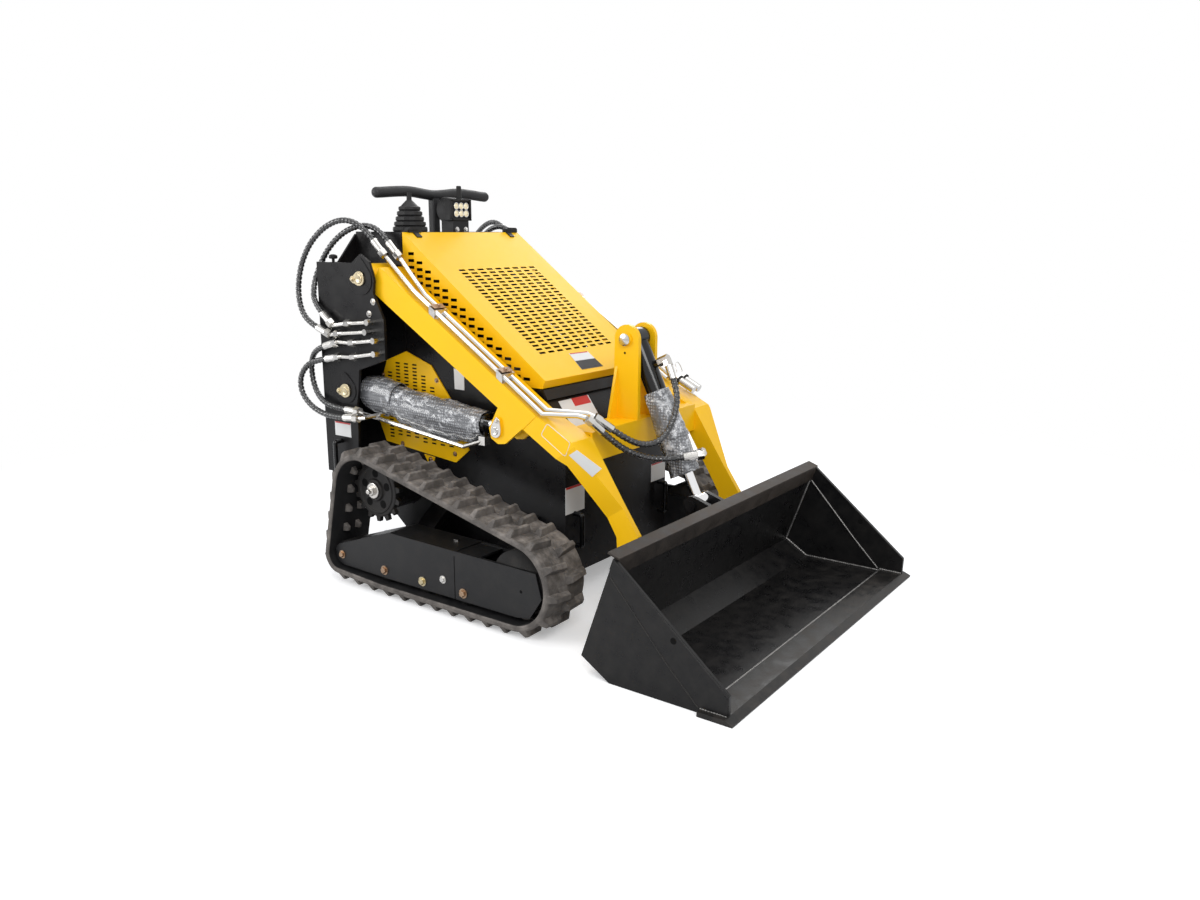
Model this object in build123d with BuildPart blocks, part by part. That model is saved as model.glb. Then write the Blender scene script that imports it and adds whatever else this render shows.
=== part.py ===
from build123d import *
from math import atan2, cos, degrees, hypot, pi, radians, sin, tan
import os

# Compact tracked skid steer loader. +X is forward, +Y the machine's left, +Z up, and the ground is z = 0.
# Sizes are in millimetres. Side views are drawn on planes of constant y, as (x, z) points.

# ---------- driving sizes ----------
BODY_HALF = 296            # half width of the tub, the console and the hood's outside
SHEET = 3                  # folded sheet of the hood and the covers
PLATE = 8                  # frame plate
REAR = -892                # rear edge of the side wings
BULKHEAD = -835            # front face of the rear bulkhead
TUB_FRONT = 89             # front wall of the tub
TUB_BOTTOM = 108           # underside of the tub
TUB_TOP = 706              # top edge of the tub, under the hood
SLOPE_LOW = 560            # height where the front wall starts to lean back
SLOPE_TOP = (8, 672)       # top of the leaning wall, under the hood's seal
TAIL = (-600, 300)         # x where the floor starts to rise, and its height at the bulkhead
WING_BOTTOM = 343          # lower edge of the wings and of the bulkhead
CONSOLE_TOP = 1184
CONSOLE_FRONT = -606
SHOULDER_IN = 39           # the bulkhead's shoulder starts this far inside the wing plate
SHOULDER_TOP = 1082
RUN = 0.3                  # gap between curved faces that move on each other
PIN_FIT = 0.1              # radial gap of a pin in a moving eye

ARM_GAP = 10               # between the tub's side and a lift arm
ARM_WIDE = 100
LEG_WIDE = 20              # width of the arm's lower leg
WING_GAP = 11              # between an arm and the wing plate outside it
WING_T = 10
ARM_IN = BODY_HALF + ARM_GAP
ARM_OUT = ARM_IN + ARM_WIDE
LEG_OUT = ARM_IN + LEG_WIDE
WING_IN = ARM_OUT + WING_GAP
WING_OUT = WING_IN + WING_T
ARM_PIVOT = (-668, 1031)
ARM_TOP_REAR = (-598, 1070)    # top edge of the arm's straight rear part
ARM_TOP_FRONT = (64, 645)
BUCKET_PIVOT = (395, 130)
PIN_R = 20
BUCKET_PIN_R = 12
LUG_WALL = 10              # side walls of the arm's cylinder lug

CYL_Y = (ARM_IN + ARM_OUT) / 2     # plane of the lift cylinders
LIFT_REAR = (-768, 644)
LIFT_FRONT = (-96, 583)
TILT_TOP = (152, 855)
TILT_LOW = (402, 342)

HOOD_REAR_TOP = (-602, 1183)
HOOD_FRONT_TOP = (11, 735)
HOOD_FRONT_LOW = (-2, 709)
HOOD_BOTTOM = 709
HINGE = (-603, 1191)       # axis of the hood's hinge, as (x, z)
HINGE_Y = BODY_HALF - 44   # middle of each hinge
HINGE_HALF = 24            # half length of a hinge
LOUVRE_START = (-563, 1113)    # top slot of the rear column of slots in the hood's sides
LOUVRE_PITCH = 38.4        # between columns
LOUVRE_ROW = 22.5          # between rows
LOUVRE_FALL = 6.6          # fall of a row from one column to the next
LOUVRE_HIGH = 6            # slots in a full column
LOUVRE_ROWS = 14

TRACK_GAP = 101            # between the tub's side and a track
TRACK_W = 180
TRACK_MID = BODY_HALF + TRACK_GAP + TRACK_W / 2
PITCH = 72                 # pitch of the rubber track
BELT = 20                  # thickness of the belt's carcass
LUG = 22                   # height of the tread lugs
GUIDE = 22                 # height of the guide lugs inside
WHEEL_GAP = 0.7            # between a wheel and the faceted inner face of the belt
# wheels that the belt runs over, as (x, z, radius over the lugs)
SPROCKET = (-561, 337, 143)
FRONT_IDLER = (97, 166, 166)
REAR_IDLER = (-687, 98, 86)
ROLLER_Z = 85
ROLLER_X = (-476, -298, -118)
FRAME_IN = TRACK_MID - 63  # inner face of the track frame
FRAME_OUT = TRACK_MID + 64

BUCKET_HALF = 645
BUCKET_BACK_TOP = (518, 358)
BUCKET_MOUTH_TOP = (871, 69)
BUCKET_HEEL = (505, 0)
BUCKET_BACK_LOW = (412, 57)
EDGE_TIP = 892             # tip of the cutting edge
EDGE_REAR = 790
EDGE_HALF = 665
EDGE_T = 14
BUCKET_T = 8

os.makedirs("parts", exist_ok=True)


# ---------- helpers ----------
def at_y(y):
    """The side-view plane at this y: its x is the machine's X and its y the machine's Z."""
    return Plane.XZ.offset(-y)


def unit(a, b):
    """Unit vector from a to b in side view."""
    d = hypot(b[0] - a[0], b[1] - a[1])
    return ((b[0] - a[0]) / d, (b[1] - a[1]) / d)


def along(a, b, d):
    """The point d from a towards b."""
    u = unit(a, b)
    return (a[0] + u[0] * d, a[1] + u[1] * d)


def save(name, part):
    part.label = name
    export_step(part, f"parts/{name}.step")


def save_pair(name, part):
    """The right-hand piece as it was made, and its mirror image on the left."""
    save(f"{name}_right", part)
    with BuildPart() as left:
        mirror(part, about=Plane.XZ)
    save(f"{name}_left", left.part)


def slab(points, y_from, y_to, mode=Mode.ADD):
    """A plate with this side-view outline, between two y values."""
    with BuildSketch(at_y(y_from)) as outline:
        with BuildLine():
            Polyline(*points, close=True)
        make_face()
    extrude(outline.sketch, amount=y_from - y_to, mode=mode)


def disc(centre, radius, y_from, y_to, mode=Mode.ADD):
    """A round bar across the machine, between two y values."""
    with BuildSketch(at_y(y_from)) as outline:
        with Locations(centre):
            Circle(radius)
    extrude(outline.sketch, amount=y_from - y_to, mode=mode)


def link(a, b, radius_a, radius_b, y_from, y_to, mode=Mode.ADD):
    """A plate with round ends at a and b."""
    with BuildSketch(at_y(y_from)) as outline:
        with Locations(a):
            Circle(radius_a)
        with Locations(b):
            Circle(radius_b)
        make_hull()
    extrude(outline.sketch, amount=y_from - y_to, mode=mode)


def round_bar(start, end, radius, sides=24):
    """A straight bar with many flats between two points in space, as plain round stock."""
    axis = Vector(*end) - Vector(*start)
    with BuildSketch(Plane(origin=start, z_dir=axis)) as section:
        RegularPolygon(radius, sides)
    extrude(section.sketch, amount=axis.length)


def corner_radii(points):
    """Radius at each inner point of a hose, so that its arcs fill 0.45 of the shorter run."""
    runs = [Vector(*b) - Vector(*a) for a, b in zip(points, points[1:])]
    radii = []
    for before, after in zip(runs, runs[1:]):
        turn = radians(before.get_angle(after))
        radii.append(0.45 * min(before.length, after.length) / tan(turn / 2))
    return radii


def hose(points, radius=9.5, sides=5):
    """A hose as plain straight runs joined by arcs."""
    with BuildLine() as route:
        FilletPolyline(*points, radius=corner_radii(points))
    with BuildSketch(Plane(origin=points[0], z_dir=route.line % 0)) as section:
        RegularPolygon(radius, sides)
    sweep(section.sketch, path=route.line)
    length = sum(edge.length for edge in route.edges())
    print("hose length", round(length), "radii", [round(r) for r in corner_radii(points)])


def pipe(points, radius=8, sides=8):
    """A steel pipe with sharp bends."""
    with BuildLine() as route:
        Polyline(*points)
    start = Vector(*points[1]) - Vector(*points[0])
    with BuildSketch(Plane(origin=points[0], z_dir=start)) as section:
        RegularPolygon(radius, sides)
    sweep(section.sketch, path=route.line, transition=Transition.RIGHT)


def crimp(end, inner, length=46):
    """The ferrule and nut of a hose that ends here, coming from the inner point. Returns its far end."""
    way = (Vector(*end) - Vector(*inner)).normalized()
    nut = Vector(*end) + way * length
    far = nut + way * 22
    round_bar(tuple(end), tuple(nut), 13, 12)
    round_bar(tuple(nut), tuple(far), 16, 6)
    return tuple(far)


def bar_plane(start, end, y, distance=0.0):
    """Plane square to the line from start to end in side view, at this distance from start."""
    u = unit(start, end)
    p = along(start, end, distance)
    return Plane(origin=(p[0], y, p[1]), x_dir=(0, 1, 0), z_dir=(u[0], 0, u[1]))


# ---------- chassis ----------
tub_side = [
    (BULKHEAD, TAIL[1]), (TAIL[0], TUB_BOTTOM), (TUB_FRONT, TUB_BOTTOM), (TUB_FRONT, SLOPE_LOW),
    SLOPE_TOP, (SLOPE_TOP[0] - PLATE, TUB_TOP), (CONSOLE_FRONT, TUB_TOP),
    (CONSOLE_FRONT, CONSOLE_TOP - PLATE), (BULKHEAD, CONSOLE_TOP - PLATE),
]
bay = [
    (BULKHEAD + PLATE, TAIL[1] + PLATE), (TAIL[0] + PLATE, TUB_BOTTOM + PLATE),
    (TUB_FRONT - PLATE, TUB_BOTTOM + PLATE), (TUB_FRONT - PLATE, SLOPE_LOW - PLATE),
    (SLOPE_TOP[0] - 2 * PLATE, SLOPE_TOP[1]), (SLOPE_TOP[0] - 2 * PLATE, CONSOLE_TOP),
    (CONSOLE_FRONT, CONSOLE_TOP), (CONSOLE_FRONT, TUB_TOP - 40), (CONSOLE_FRONT - PLATE, TUB_TOP - 40),
    (CONSOLE_FRONT - PLATE, CONSOLE_TOP), (BULKHEAD + PLATE, CONSOLE_TOP),
]
with BuildPart() as chassis_frame:
    slab(tub_side, -BODY_HALF, BODY_HALF)
    slab(bay, -BODY_HALF + PLATE, BODY_HALF - PLATE, Mode.SUBTRACT)
    for sign in (-1, 1):
        for pin in (ARM_PIVOT, LIFT_REAR):
            disc(pin, PIN_R, sign * (BODY_HALF - 2 * PLATE), sign * (BODY_HALF + 1), Mode.SUBTRACT)
save("chassis_frame", chassis_frame.part)

with BuildPart() as rear_bulkhead:
    with BuildSketch(Plane.YZ.offset(BULKHEAD - PLATE)):
        with BuildLine():
            Polyline(
                (-WING_IN, WING_BOTTOM), (-WING_IN, SHOULDER_TOP), (SHOULDER_IN - WING_IN, SHOULDER_TOP),
                (-BODY_HALF, CONSOLE_TOP - PLATE), (BODY_HALF, CONSOLE_TOP - PLATE),
                (WING_IN - SHOULDER_IN, SHOULDER_TOP), (WING_IN, SHOULDER_TOP), (WING_IN, WING_BOTTOM),
                close=True,
            )
        make_face()
    extrude(amount=PLATE)
save("rear_bulkhead", rear_bulkhead.part)

wing_side = [
    (REAR, WING_BOTTOM), (REAR, SHOULDER_TOP), (-712, SHOULDER_TOP), (-668, 1112), (-626, 1088),
    (-605, 1028), (-612, 985), (-566, 900), (-566, 767), (-700, 722), (-708, 654), (-720, 600),
    (-720, 500), (-732, WING_BOTTOM),
]
with BuildPart() as wing:
    slab(wing_side, -WING_OUT, -WING_IN)
    for pin in (ARM_PIVOT, LIFT_REAR):
        disc(pin, 34, -WING_IN, -ARM_OUT - 1)
        disc(pin, PIN_R, -WING_OUT, -ARM_OUT, Mode.SUBTRACT)
save_pair("wing_plate", wing.part)

with BuildPart() as pivot_pins:
    for sign in (-1, 1):
        for pin in (ARM_PIVOT, LIFT_REAR):
            disc(pin, PIN_R, sign * (BODY_HALF - PLATE), sign * WING_OUT)
            link(pin, (pin[0] - 30, pin[1] - 6), 22, 10, sign * WING_OUT, sign * (WING_OUT + 6))
save("pivot_pins", pivot_pins.part)

with BuildPart() as engine:
    with Locations((-290, 0, TUB_BOTTOM + PLATE)):
        Box(420, 400, 620, align=(Align.CENTER, Align.CENTER, Align.MIN))
save("engine", engine.part)

with BuildPart() as console:
    with Locations(((BULKHEAD + CONSOLE_FRONT) / 2, 0, CONSOLE_TOP - PLATE / 2)):
        Box(CONSOLE_FRONT - BULKHEAD, 2 * BODY_HALF, PLATE)
    # outer halves of the hood's hinges, each with its pin
    for side in (-1, 1):
        hinge_in, hinge_out = side * HINGE_Y, side * (HINGE_Y + HINGE_HALF)
        disc(HINGE, 7, hinge_in, hinge_out)
        disc(HINGE, 3, side * (HINGE_Y - HINGE_HALF), hinge_out)
        slab(
            [(HINGE[0] - 27, CONSOLE_TOP), (CONSOLE_FRONT, CONSOLE_TOP), (HINGE[0], HINGE[1] - 3), HINGE,
             (HINGE[0] - 27, CONSOLE_TOP + 4)],
            hinge_in, hinge_out,
        )
save("console", console.part)

with BuildPart() as hood_seal:
    slab(
        [SLOPE_TOP, (SLOPE_TOP[0] + 12, SLOPE_TOP[1] + 4), (SLOPE_TOP[0] - 4, TUB_TOP),
         (SLOPE_TOP[0] - PLATE, TUB_TOP)],
        -BODY_HALF, BODY_HALF,
    )
save("hood_seal", hood_seal.part)

# yellow service covers on the tub's sides
cover_side = [
    (-602, 782), (-700, 745), (-745, 640), (-752, 521), (-720, 451), (-379, 419), (-317, 470), (-393, 632),
    (-483, 743),
]
with BuildPart() as side_cover:
    slab(cover_side, -BODY_HALF - SHEET - 1, -BODY_HALF)
save_pair("side_cover", side_cover.part)

# ---------- hood ----------
GRILLE_ROWS = 25
GRILLE_COLUMNS = 9
GRILLE_MIDDLE = 425        # along the slope, from the hood's rear top edge
slope_x, slope_z = unit(HOOD_REAR_TOP, HOOD_FRONT_TOP)
hood_top = Plane(
    origin=(HOOD_REAR_TOP[0], 0, HOOD_REAR_TOP[1]), x_dir=(slope_x, 0, slope_z),
    z_dir=(-slope_z, 0, slope_x),
)


def on_hood(distance, height):
    """Side-view point on the hood's sloping top."""
    return (
        HOOD_REAR_TOP[0] + slope_x * distance - slope_z * height,
        HOOD_REAR_TOP[1] + slope_z * distance + slope_x * height,
    )


louvre_places = [
    (LOUVRE_START[0] + LOUVRE_PITCH * column, LOUVRE_START[1] - LOUVRE_ROW * row - LOUVRE_FALL * column)
    for row in range(LOUVRE_ROWS) for column in range(max(0, row - LOUVRE_HIGH + 1), row + 1)
]
with BuildPart() as hood:
    slab(
        [HOOD_REAR_TOP, HOOD_FRONT_TOP, HOOD_FRONT_LOW, (HOOD_REAR_TOP[0], HOOD_BOTTOM)],
        -BODY_HALF, BODY_HALF,
    )
    low = hood.faces().sort_by(Axis.Z)[0]
    back = hood.faces().sort_by(Axis.X)[0]
    offset(amount=-SHEET, openings=[low, back])
    with BuildSketch(hood_top) as grille:
        with Locations((GRILLE_MIDDLE, -6)):
            with GridLocations(17.9, 46, GRILLE_ROWS, GRILLE_COLUMNS):
                Rectangle(6.5, 26)
    extrude(grille.sketch, amount=-2 * SHEET, mode=Mode.SUBTRACT)
    # slots in the sides, in a band under the sloping edge
    for side in (-1, 1):
        with BuildSketch(at_y(side * BODY_HALF)) as louvre:
            with Locations(*louvre_places):
                Rectangle(22, 8)
        extrude(louvre.sketch, amount=2 * side * SHEET, mode=Mode.SUBTRACT)
    for side in (-1, 1):
        hinge_in, hinge_out = side * (HINGE_Y - HINGE_HALF), side * (HINGE_Y - 1)
        disc(HINGE, 7, hinge_in, hinge_out)
        slab([on_hood(-3, 0), on_hood(30, 0), on_hood(30, 4), on_hood(-3, 4)], hinge_in, hinge_out)
        disc(HINGE, 3 + PIN_FIT, hinge_in, hinge_out, Mode.SUBTRACT)
save("hood", hood.part)

# ---------- controls ----------
BAR_X = -746
BAR_Z = 1320
with BuildPart() as handle_bar:
    with BuildSketch(Plane.XY.offset(CONSOLE_TOP)):
        with Locations((BAR_X, 0)):
            RectangleRounded(30, 34, 6)
    extrude(amount=BAR_Z - CONSOLE_TOP - 4)
    for sign in (-1, 1):
        round_bar((BAR_X, 0, BAR_Z - 4), (BAR_X, sign * 150, BAR_Z + 5), 15, 16)
        round_bar((BAR_X, sign * 128, BAR_Z + 4), (BAR_X, sign * 272, BAR_Z), 21, 16)
        round_bar((BAR_X, sign * 272, BAR_Z), (BAR_X, sign * 287, BAR_Z), 15, 16)
save("handle_bar", handle_bar.part)

# rings of the lever's bellows and of its stem, as (height above the console, radius)
BELLOWS = [
    (0, 57), (5, 60), (16, 59), (19, 51), (23, 55), (33, 54), (36, 46), (40, 49), (50, 48),
    (54, 40), (58, 44), (68, 43), (72, 35), (76, 38), (84, 37), (87, 30), (108, 9), (132, 8),
]
LEVER = (-669, 101 - BODY_HALF)
LEVER_SIDES = 16
with BuildPart() as joystick:
    for (low, radius), (high, next_radius) in zip(BELLOWS, BELLOWS[1:]):
        with BuildSketch(Plane.XY.offset(CONSOLE_TOP + low)) as ring:
            with Locations(LEVER):
                RegularPolygon(radius, LEVER_SIDES)
        lean = degrees(atan2((radius - next_radius) * cos(pi / LEVER_SIDES), high - low))
        extrude(ring.sketch, amount=high - low, taper=lean)
save("joystick", joystick.part)

LAMP = (-627, 20, 1262)    # middle of the lamp's front face
LAMP_WIDE = 104
LAMP_HIGH = 76
with BuildPart() as work_light:
    with Locations((LAMP[0] - 18, LAMP[1], LAMP[2])):
        Box(36, LAMP_WIDE, LAMP_HIGH)
    with Locations(LAMP):
        Box(12, LAMP_WIDE - 16, LAMP_HIGH - 16, mode=Mode.SUBTRACT)
    round_bar((LAMP[0] - 41, LAMP[1] - 32, LAMP[2]), (LAMP[0] - 41, LAMP[1] + 16, LAMP[2]), 48)
    with Locations((LAMP[0] - 34, LAMP[1], (CONSOLE_TOP + LAMP[2] - LAMP_HIGH / 2) / 2)):
        Box(60, 80, LAMP[2] - LAMP_HIGH / 2 - CONSOLE_TOP)
    round_bar((LAMP[0] - 12, LAMP[1], LAMP[2] + 36), (LAMP[0] - 12, LAMP[1], LAMP[2] + 84), 9, 12)
save("work_light", work_light.part)

# tie-down loops: the plate's face they stand on, as (origin, normal, way along the loop)
LOOP_LONG = 108
LOOP_OUT = 34
LOOP_R = 8
LOOPS = [
    ((TUB_FRONT, 46 - BODY_HALF, 278), (1, 0, 0)), ((TUB_FRONT, BODY_HALF - 46, 278), (1, 0, 0)),
    ((-872, -WING_OUT, 404), (0, -1, 0)), ((-872, WING_OUT, 404), (0, 1, 0)),
]
with BuildPart() as tie_downs:
    for foot, out in LOOPS:
        base = Vector(*foot)
        reach = Vector(*out) * LOOP_OUT
        rise = Vector(0, 0, LOOP_LONG / 2)
        round_bar(base + rise, base + rise + reach, LOOP_R, 8)
        round_bar(base - rise, base - rise + reach, LOOP_R, 8)
        round_bar(base + reach - rise * 1.14, base + reach + rise * 1.14, LOOP_R, 8)
save("tie_downs", tie_downs.part)

# ---------- tracks ----------
INSIDE = BELT + LUG


def track_path():
    """Straight runs and arcs of the belt's inner face, clockwise in side view from the bottom."""
    wheels = [(x, z, r - INSIDE) for x, z, r in (FRONT_IDLER, SPROCKET, REAR_IDLER)]
    wheels.insert(3, (ROLLER_X[0], ROLLER_Z, ROLLER_Z - INSIDE))
    pieces = []
    count = len(wheels)
    tangents = []
    for i in range(count):
        x1, z1, r1 = wheels[i]
        x2, z2, r2 = wheels[(i + 1) % count]
        d = hypot(x2 - x1, z2 - z1)
        base = atan2(z2 - z1, x2 - x1)
        turn = base - pi / 2 + atan2(r1 - r2, (d * d - (r1 - r2) ** 2) ** 0.5)
        tangents.append((turn, (x1, z1, r1), (x2, z2, r2)))
    for i in range(count):
        normal, a, b = tangents[i]
        start = (a[0] + a[2] * cos(normal), a[1] + a[2] * sin(normal))
        end = (b[0] + b[2] * cos(normal), b[1] + b[2] * sin(normal))
        pieces.append(("line", start, end, normal, hypot(end[0] - start[0], end[1] - start[1])))
        following = tangents[(i + 1) % count][0]
        sweep_angle = (following - normal) % (2 * pi)
        pieces.append(("arc", b, normal, sweep_angle, b[2] * sweep_angle))
    return pieces


PATH = track_path()
PERIMETER = sum(piece[-1] for piece in PATH)


def belt_point(s, height):
    """The point at this length along the belt's inner face and this height outside it."""
    s = s % PERIMETER
    for piece in PATH:
        if s <= piece[-1]:
            break
        s -= piece[-1]
    if piece[0] == "line":
        _, a, b, normal, length = piece
        x = a[0] + (b[0] - a[0]) * s / length
        z = a[1] + (b[1] - a[1]) * s / length
        return (x + height * cos(normal), z + height * sin(normal))
    _, wheel, normal, sweep_angle, length = piece
    angle = normal + s / wheel[2]
    return (wheel[0] + (wheel[2] + height) * cos(angle), wheel[1] + (wheel[2] + height) * sin(angle))


LINKS = round(PERIMETER / PITCH)
STEP = PERIMETER / LINKS
# half lengths of a lug at its root and at its tip
LUG_ROOT = 17
LUG_TIP = 12


def tread_outline(phase):
    """The outside of the belt with its lugs, the first lug this part of a pitch along the belt."""
    outline = []
    for i in range(LINKS):
        s = (i + phase) * STEP
        for shift, height in ((-LUG_ROOT, BELT), (-LUG_TIP, INSIDE), (LUG_TIP, INSIDE), (LUG_ROOT, BELT)):
            outline.append(belt_point(s + shift, height))
    return outline


def inner_outline():
    """The inner face of the belt: its straight runs, and its arcs in short steps."""
    outline = []
    for piece in PATH:
        if piece[0] == "line":
            outline.append(piece[1])
            outline.append(piece[2])
        else:
            _, wheel, normal, sweep_angle, length = piece
            steps = max(1, round(degrees(sweep_angle) / 9))
            for k in range(1, steps):
                angle = normal + sweep_angle * k / steps
                outline.append((wheel[0] + wheel[2] * cos(angle), wheel[1] + wheel[2] * sin(angle)))
    return outline


with BuildPart() as track:
    for phase, y_from in ((0.0, -TRACK_MID - TRACK_W / 2), (0.5, -TRACK_MID)):
        with BuildSketch(at_y(y_from)):
            with BuildLine():
                Polyline(*tread_outline(phase), close=True)
            make_face()
            with BuildLine():
                Polyline(*inner_outline(), close=True)
            make_face(mode=Mode.SUBTRACT)
        extrude(amount=-TRACK_W / 2)
save_pair("track", track.part)
print("track links", LINKS, "pitch", round(STEP, 2))

frame_side = [
    (-700, 134), (-448, 220), (174, 212), (196, 135), (150, 66), (97, 58), (-476, 58), (-680, 62),
    (-708, 68), (-722, 84), (-724, 104), (-716, 124),
]
SPLIT = -152               # joint between the frame's rear part and its sliding front part
with BuildPart() as track_frame:
    slab(frame_side, -FRAME_OUT, -FRAME_OUT + 10)
    slab(frame_side, -FRAME_IN - 10, -FRAME_IN)
    slab([(-448, 220), (SPLIT, 216), (SPLIT, 206), (-448, 210)], -FRAME_OUT + 10, -FRAME_IN - 10)
    slab([(SPLIT, 213), (-60, 211), (-60, 204), (SPLIT, 206)], -FRAME_OUT + 10, -FRAME_IN - 10)
    slab([(-600, 170), (-448, 220), (-448, 210), (-600, 160)], -FRAME_OUT + 10, -FRAME_IN - 10)
    slab(
        [(SPLIT - 4, 200), (SPLIT, 200), (SPLIT, 58), (SPLIT - 4, 58)],
        -FRAME_OUT, -FRAME_OUT + 2, Mode.SUBTRACT,
    )
save_pair("track_frame", track_frame.part)

with BuildPart() as track_legs:
    for x in (-420, -60):
        with BuildSketch(Plane.YZ.offset(x - 40)):
            with BuildLine():
                Polyline(
                    (-FRAME_IN, 150), (-BODY_HALF, 150), (-BODY_HALF, 290), (-BODY_HALF - 20, 290),
                    (-FRAME_IN, 205), close=True,
                )
            make_face()
        extrude(amount=80)
save_pair("track_legs", track_legs.part)

# idlers and rollers, as (x, z, radius of the belt's inner face there)
WHEELS = [(x, z, r - INSIDE) for x, z, r in (FRONT_IDLER, REAR_IDLER)]
WHEELS += [(x, ROLLER_Z, ROLLER_Z - INSIDE) for x in ROLLER_X]
with BuildPart() as track_wheels:
    for x, z, r in WHEELS:
        round_bar((x, -FRAME_OUT + 12, z), (x, -FRAME_IN - 12, z), r - WHEEL_GAP, 32)
        round_bar((x, -FRAME_OUT + 10, z), (x, -FRAME_IN - 10, z), 20, 12)
save_pair("track_wheels", track_wheels.part)

TEETH = 17
TIP_R = SPROCKET[2] - INSIDE - 1.5
ROOT_R = 84


def tooth_outline():
    outline = []
    for i in range(TEETH):
        for share, radius in ((-0.30, ROOT_R), (-0.16, TIP_R), (0.16, TIP_R), (0.30, ROOT_R)):
            angle = 2 * pi * (i + share) / TEETH
            outline.append((SPROCKET[0] + radius * cos(angle), SPROCKET[1] + radius * sin(angle)))
    return outline


with BuildPart() as sprocket:
    slab(tooth_outline(), -TRACK_MID - 12, -TRACK_MID + 12)
    for i in range(5):
        angle = radians(72 * i + 20)
        x = SPROCKET[0] + 58 * cos(angle)
        z = SPROCKET[1] + 58 * sin(angle)
        with BuildSketch(at_y(-TRACK_MID - 13)) as window:
            with Locations((x, z)):
                RegularPolygon(13, 12)
        extrude(window.sketch, amount=-26, mode=Mode.SUBTRACT)
    round_bar((SPROCKET[0], -TRACK_MID - 36, SPROCKET[1]), (SPROCKET[0], -TRACK_MID - 12, SPROCKET[1]), 40)
    round_bar((SPROCKET[0], -TRACK_MID - 58, SPROCKET[1]), (SPROCKET[0], -TRACK_MID - 36, SPROCKET[1]), 18, 6)
save_pair("sprocket", sprocket.part)

with BuildPart() as drive_motor:
    flange = BODY_HALF + 54
    for y_near, y_far, radius in (
        (TRACK_MID - 12, flange + 70, 62), (flange + 70, flange, 78), (flange, BODY_HALF, 58),
    ):
        round_bar((SPROCKET[0], -y_near, SPROCKET[1]), (SPROCKET[0], -y_far, SPROCKET[1]), radius)
save_pair("drive_motor", drive_motor.part)

# ---------- lift arms ----------
arm_side = [
    ARM_TOP_REAR, ARM_TOP_FRONT, (198, 583), (318, 400), (383, 306), (398, 240), (411, 160), (395, 130),
    (363, 130), (309, 246), (306, 291), (282, 331), (172, 506), (8, 601), (-62, 545), (-92, 541),
    (-120, 556), (-128, 588), (-90, 656), (-271, 766), (-653, 998),
]
lug_pocket = [(-170, 650), (4, 650), (4, 596), (-40, 520), (-170, 500)]
KINK = (175, 550)          # where the arm's outer face starts to lean in, on the arm's middle line
KNEE = (299, 365)          # where the narrow lower leg starts


def lean_cut(side):
    """Cut the arm's outer face from full width at the kink to the leg's width at the knee."""
    direction = unit(KINK, KNEE)
    reach = hypot(KNEE[0] - KINK[0], KNEE[1] - KINK[1])
    lean = Plane(
        origin=(KINK[0], 0, KINK[1]), x_dir=(direction[0], 0, direction[1]),
        z_dir=(-direction[1], 0, direction[0]),
    )
    turn = 1 if lean.y_dir.Y > 0 else -1
    with BuildSketch(lean) as wedge:
        with BuildLine():
            Polyline(
                (0, turn * side * ARM_OUT), (reach, turn * side * LEG_OUT),
                (reach + 400, turn * side * LEG_OUT), (reach + 400, turn * side * (ARM_OUT + 50)),
                (0, turn * side * (ARM_OUT + 50)), close=True,
            )
        make_face()
    extrude(wedge.sketch, amount=420, both=True, mode=Mode.SUBTRACT)


with BuildPart() as arm:
    slab(arm_side, -ARM_OUT, -ARM_IN)
    disc(ARM_PIVOT, 50, -ARM_OUT, -ARM_IN)
    slab(lug_pocket, -ARM_OUT + LUG_WALL, -ARM_IN - LUG_WALL, Mode.SUBTRACT)
    lean_cut(-1)
    disc(BUCKET_PIVOT, 24, -LEG_OUT, -ARM_IN)
    disc(ARM_PIVOT, PIN_R + PIN_FIT, -ARM_OUT, -ARM_IN, Mode.SUBTRACT)
    disc(BUCKET_PIVOT, BUCKET_PIN_R + PIN_FIT, -ARM_OUT, -ARM_IN, Mode.SUBTRACT)
    # keeper plate of the cylinder's front pin
    with BuildSketch(at_y(-ARM_OUT)) as keeper:
        with Locations(LIFT_FRONT):
            Circle(22)
        with Locations((LIFT_FRONT[0] + 10, LIFT_FRONT[1] + 34)):
            Circle(11)
        make_hull()
    extrude(keeper.sketch, amount=7)
save_pair("arm", arm.part)

CROSS = (150, 551)
CROSS_LONG = 100
CROSS_HIGH = 92
with BuildPart() as cross_tube:
    with BuildSketch(Plane.XZ) as tube:
        with Locations(CROSS):
            Rectangle(CROSS_LONG, CROSS_HIGH)
            Rectangle(CROSS_LONG - 16, CROSS_HIGH - 16, mode=Mode.SUBTRACT)
    extrude(tube.sketch, amount=ARM_IN, both=True)
save("cross_tube", cross_tube.part)

EAR_IN = 41
EAR_OUT = 56
CROSS_TOP = CROSS[1] + CROSS_HIGH / 2
with BuildPart() as tower:
    for sign in (-1, 1):
        with BuildSketch(at_y(sign * EAR_IN)) as ear:
            with Locations(TILT_TOP):
                Circle(46)
            with Locations((CROSS[0], CROSS_TOP + 5)):
                Rectangle(96, 10)
            make_hull()
        extrude(ear.sketch, amount=-sign * (EAR_OUT - EAR_IN))
        # gusset outside the ear, down to the cross tube
        with BuildSketch(Plane.YZ.offset(108)) as gusset:
            with BuildLine():
                Polyline(
                    (sign * EAR_OUT, 765), (sign * EAR_OUT, CROSS_TOP), (sign * 100, CROSS_TOP), close=True,
                )
            make_face()
        extrude(gusset.sketch, amount=10)
    disc(TILT_TOP, PIN_R, -EAR_OUT - 8, EAR_OUT + 8)
save("tower", tower.part)

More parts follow.
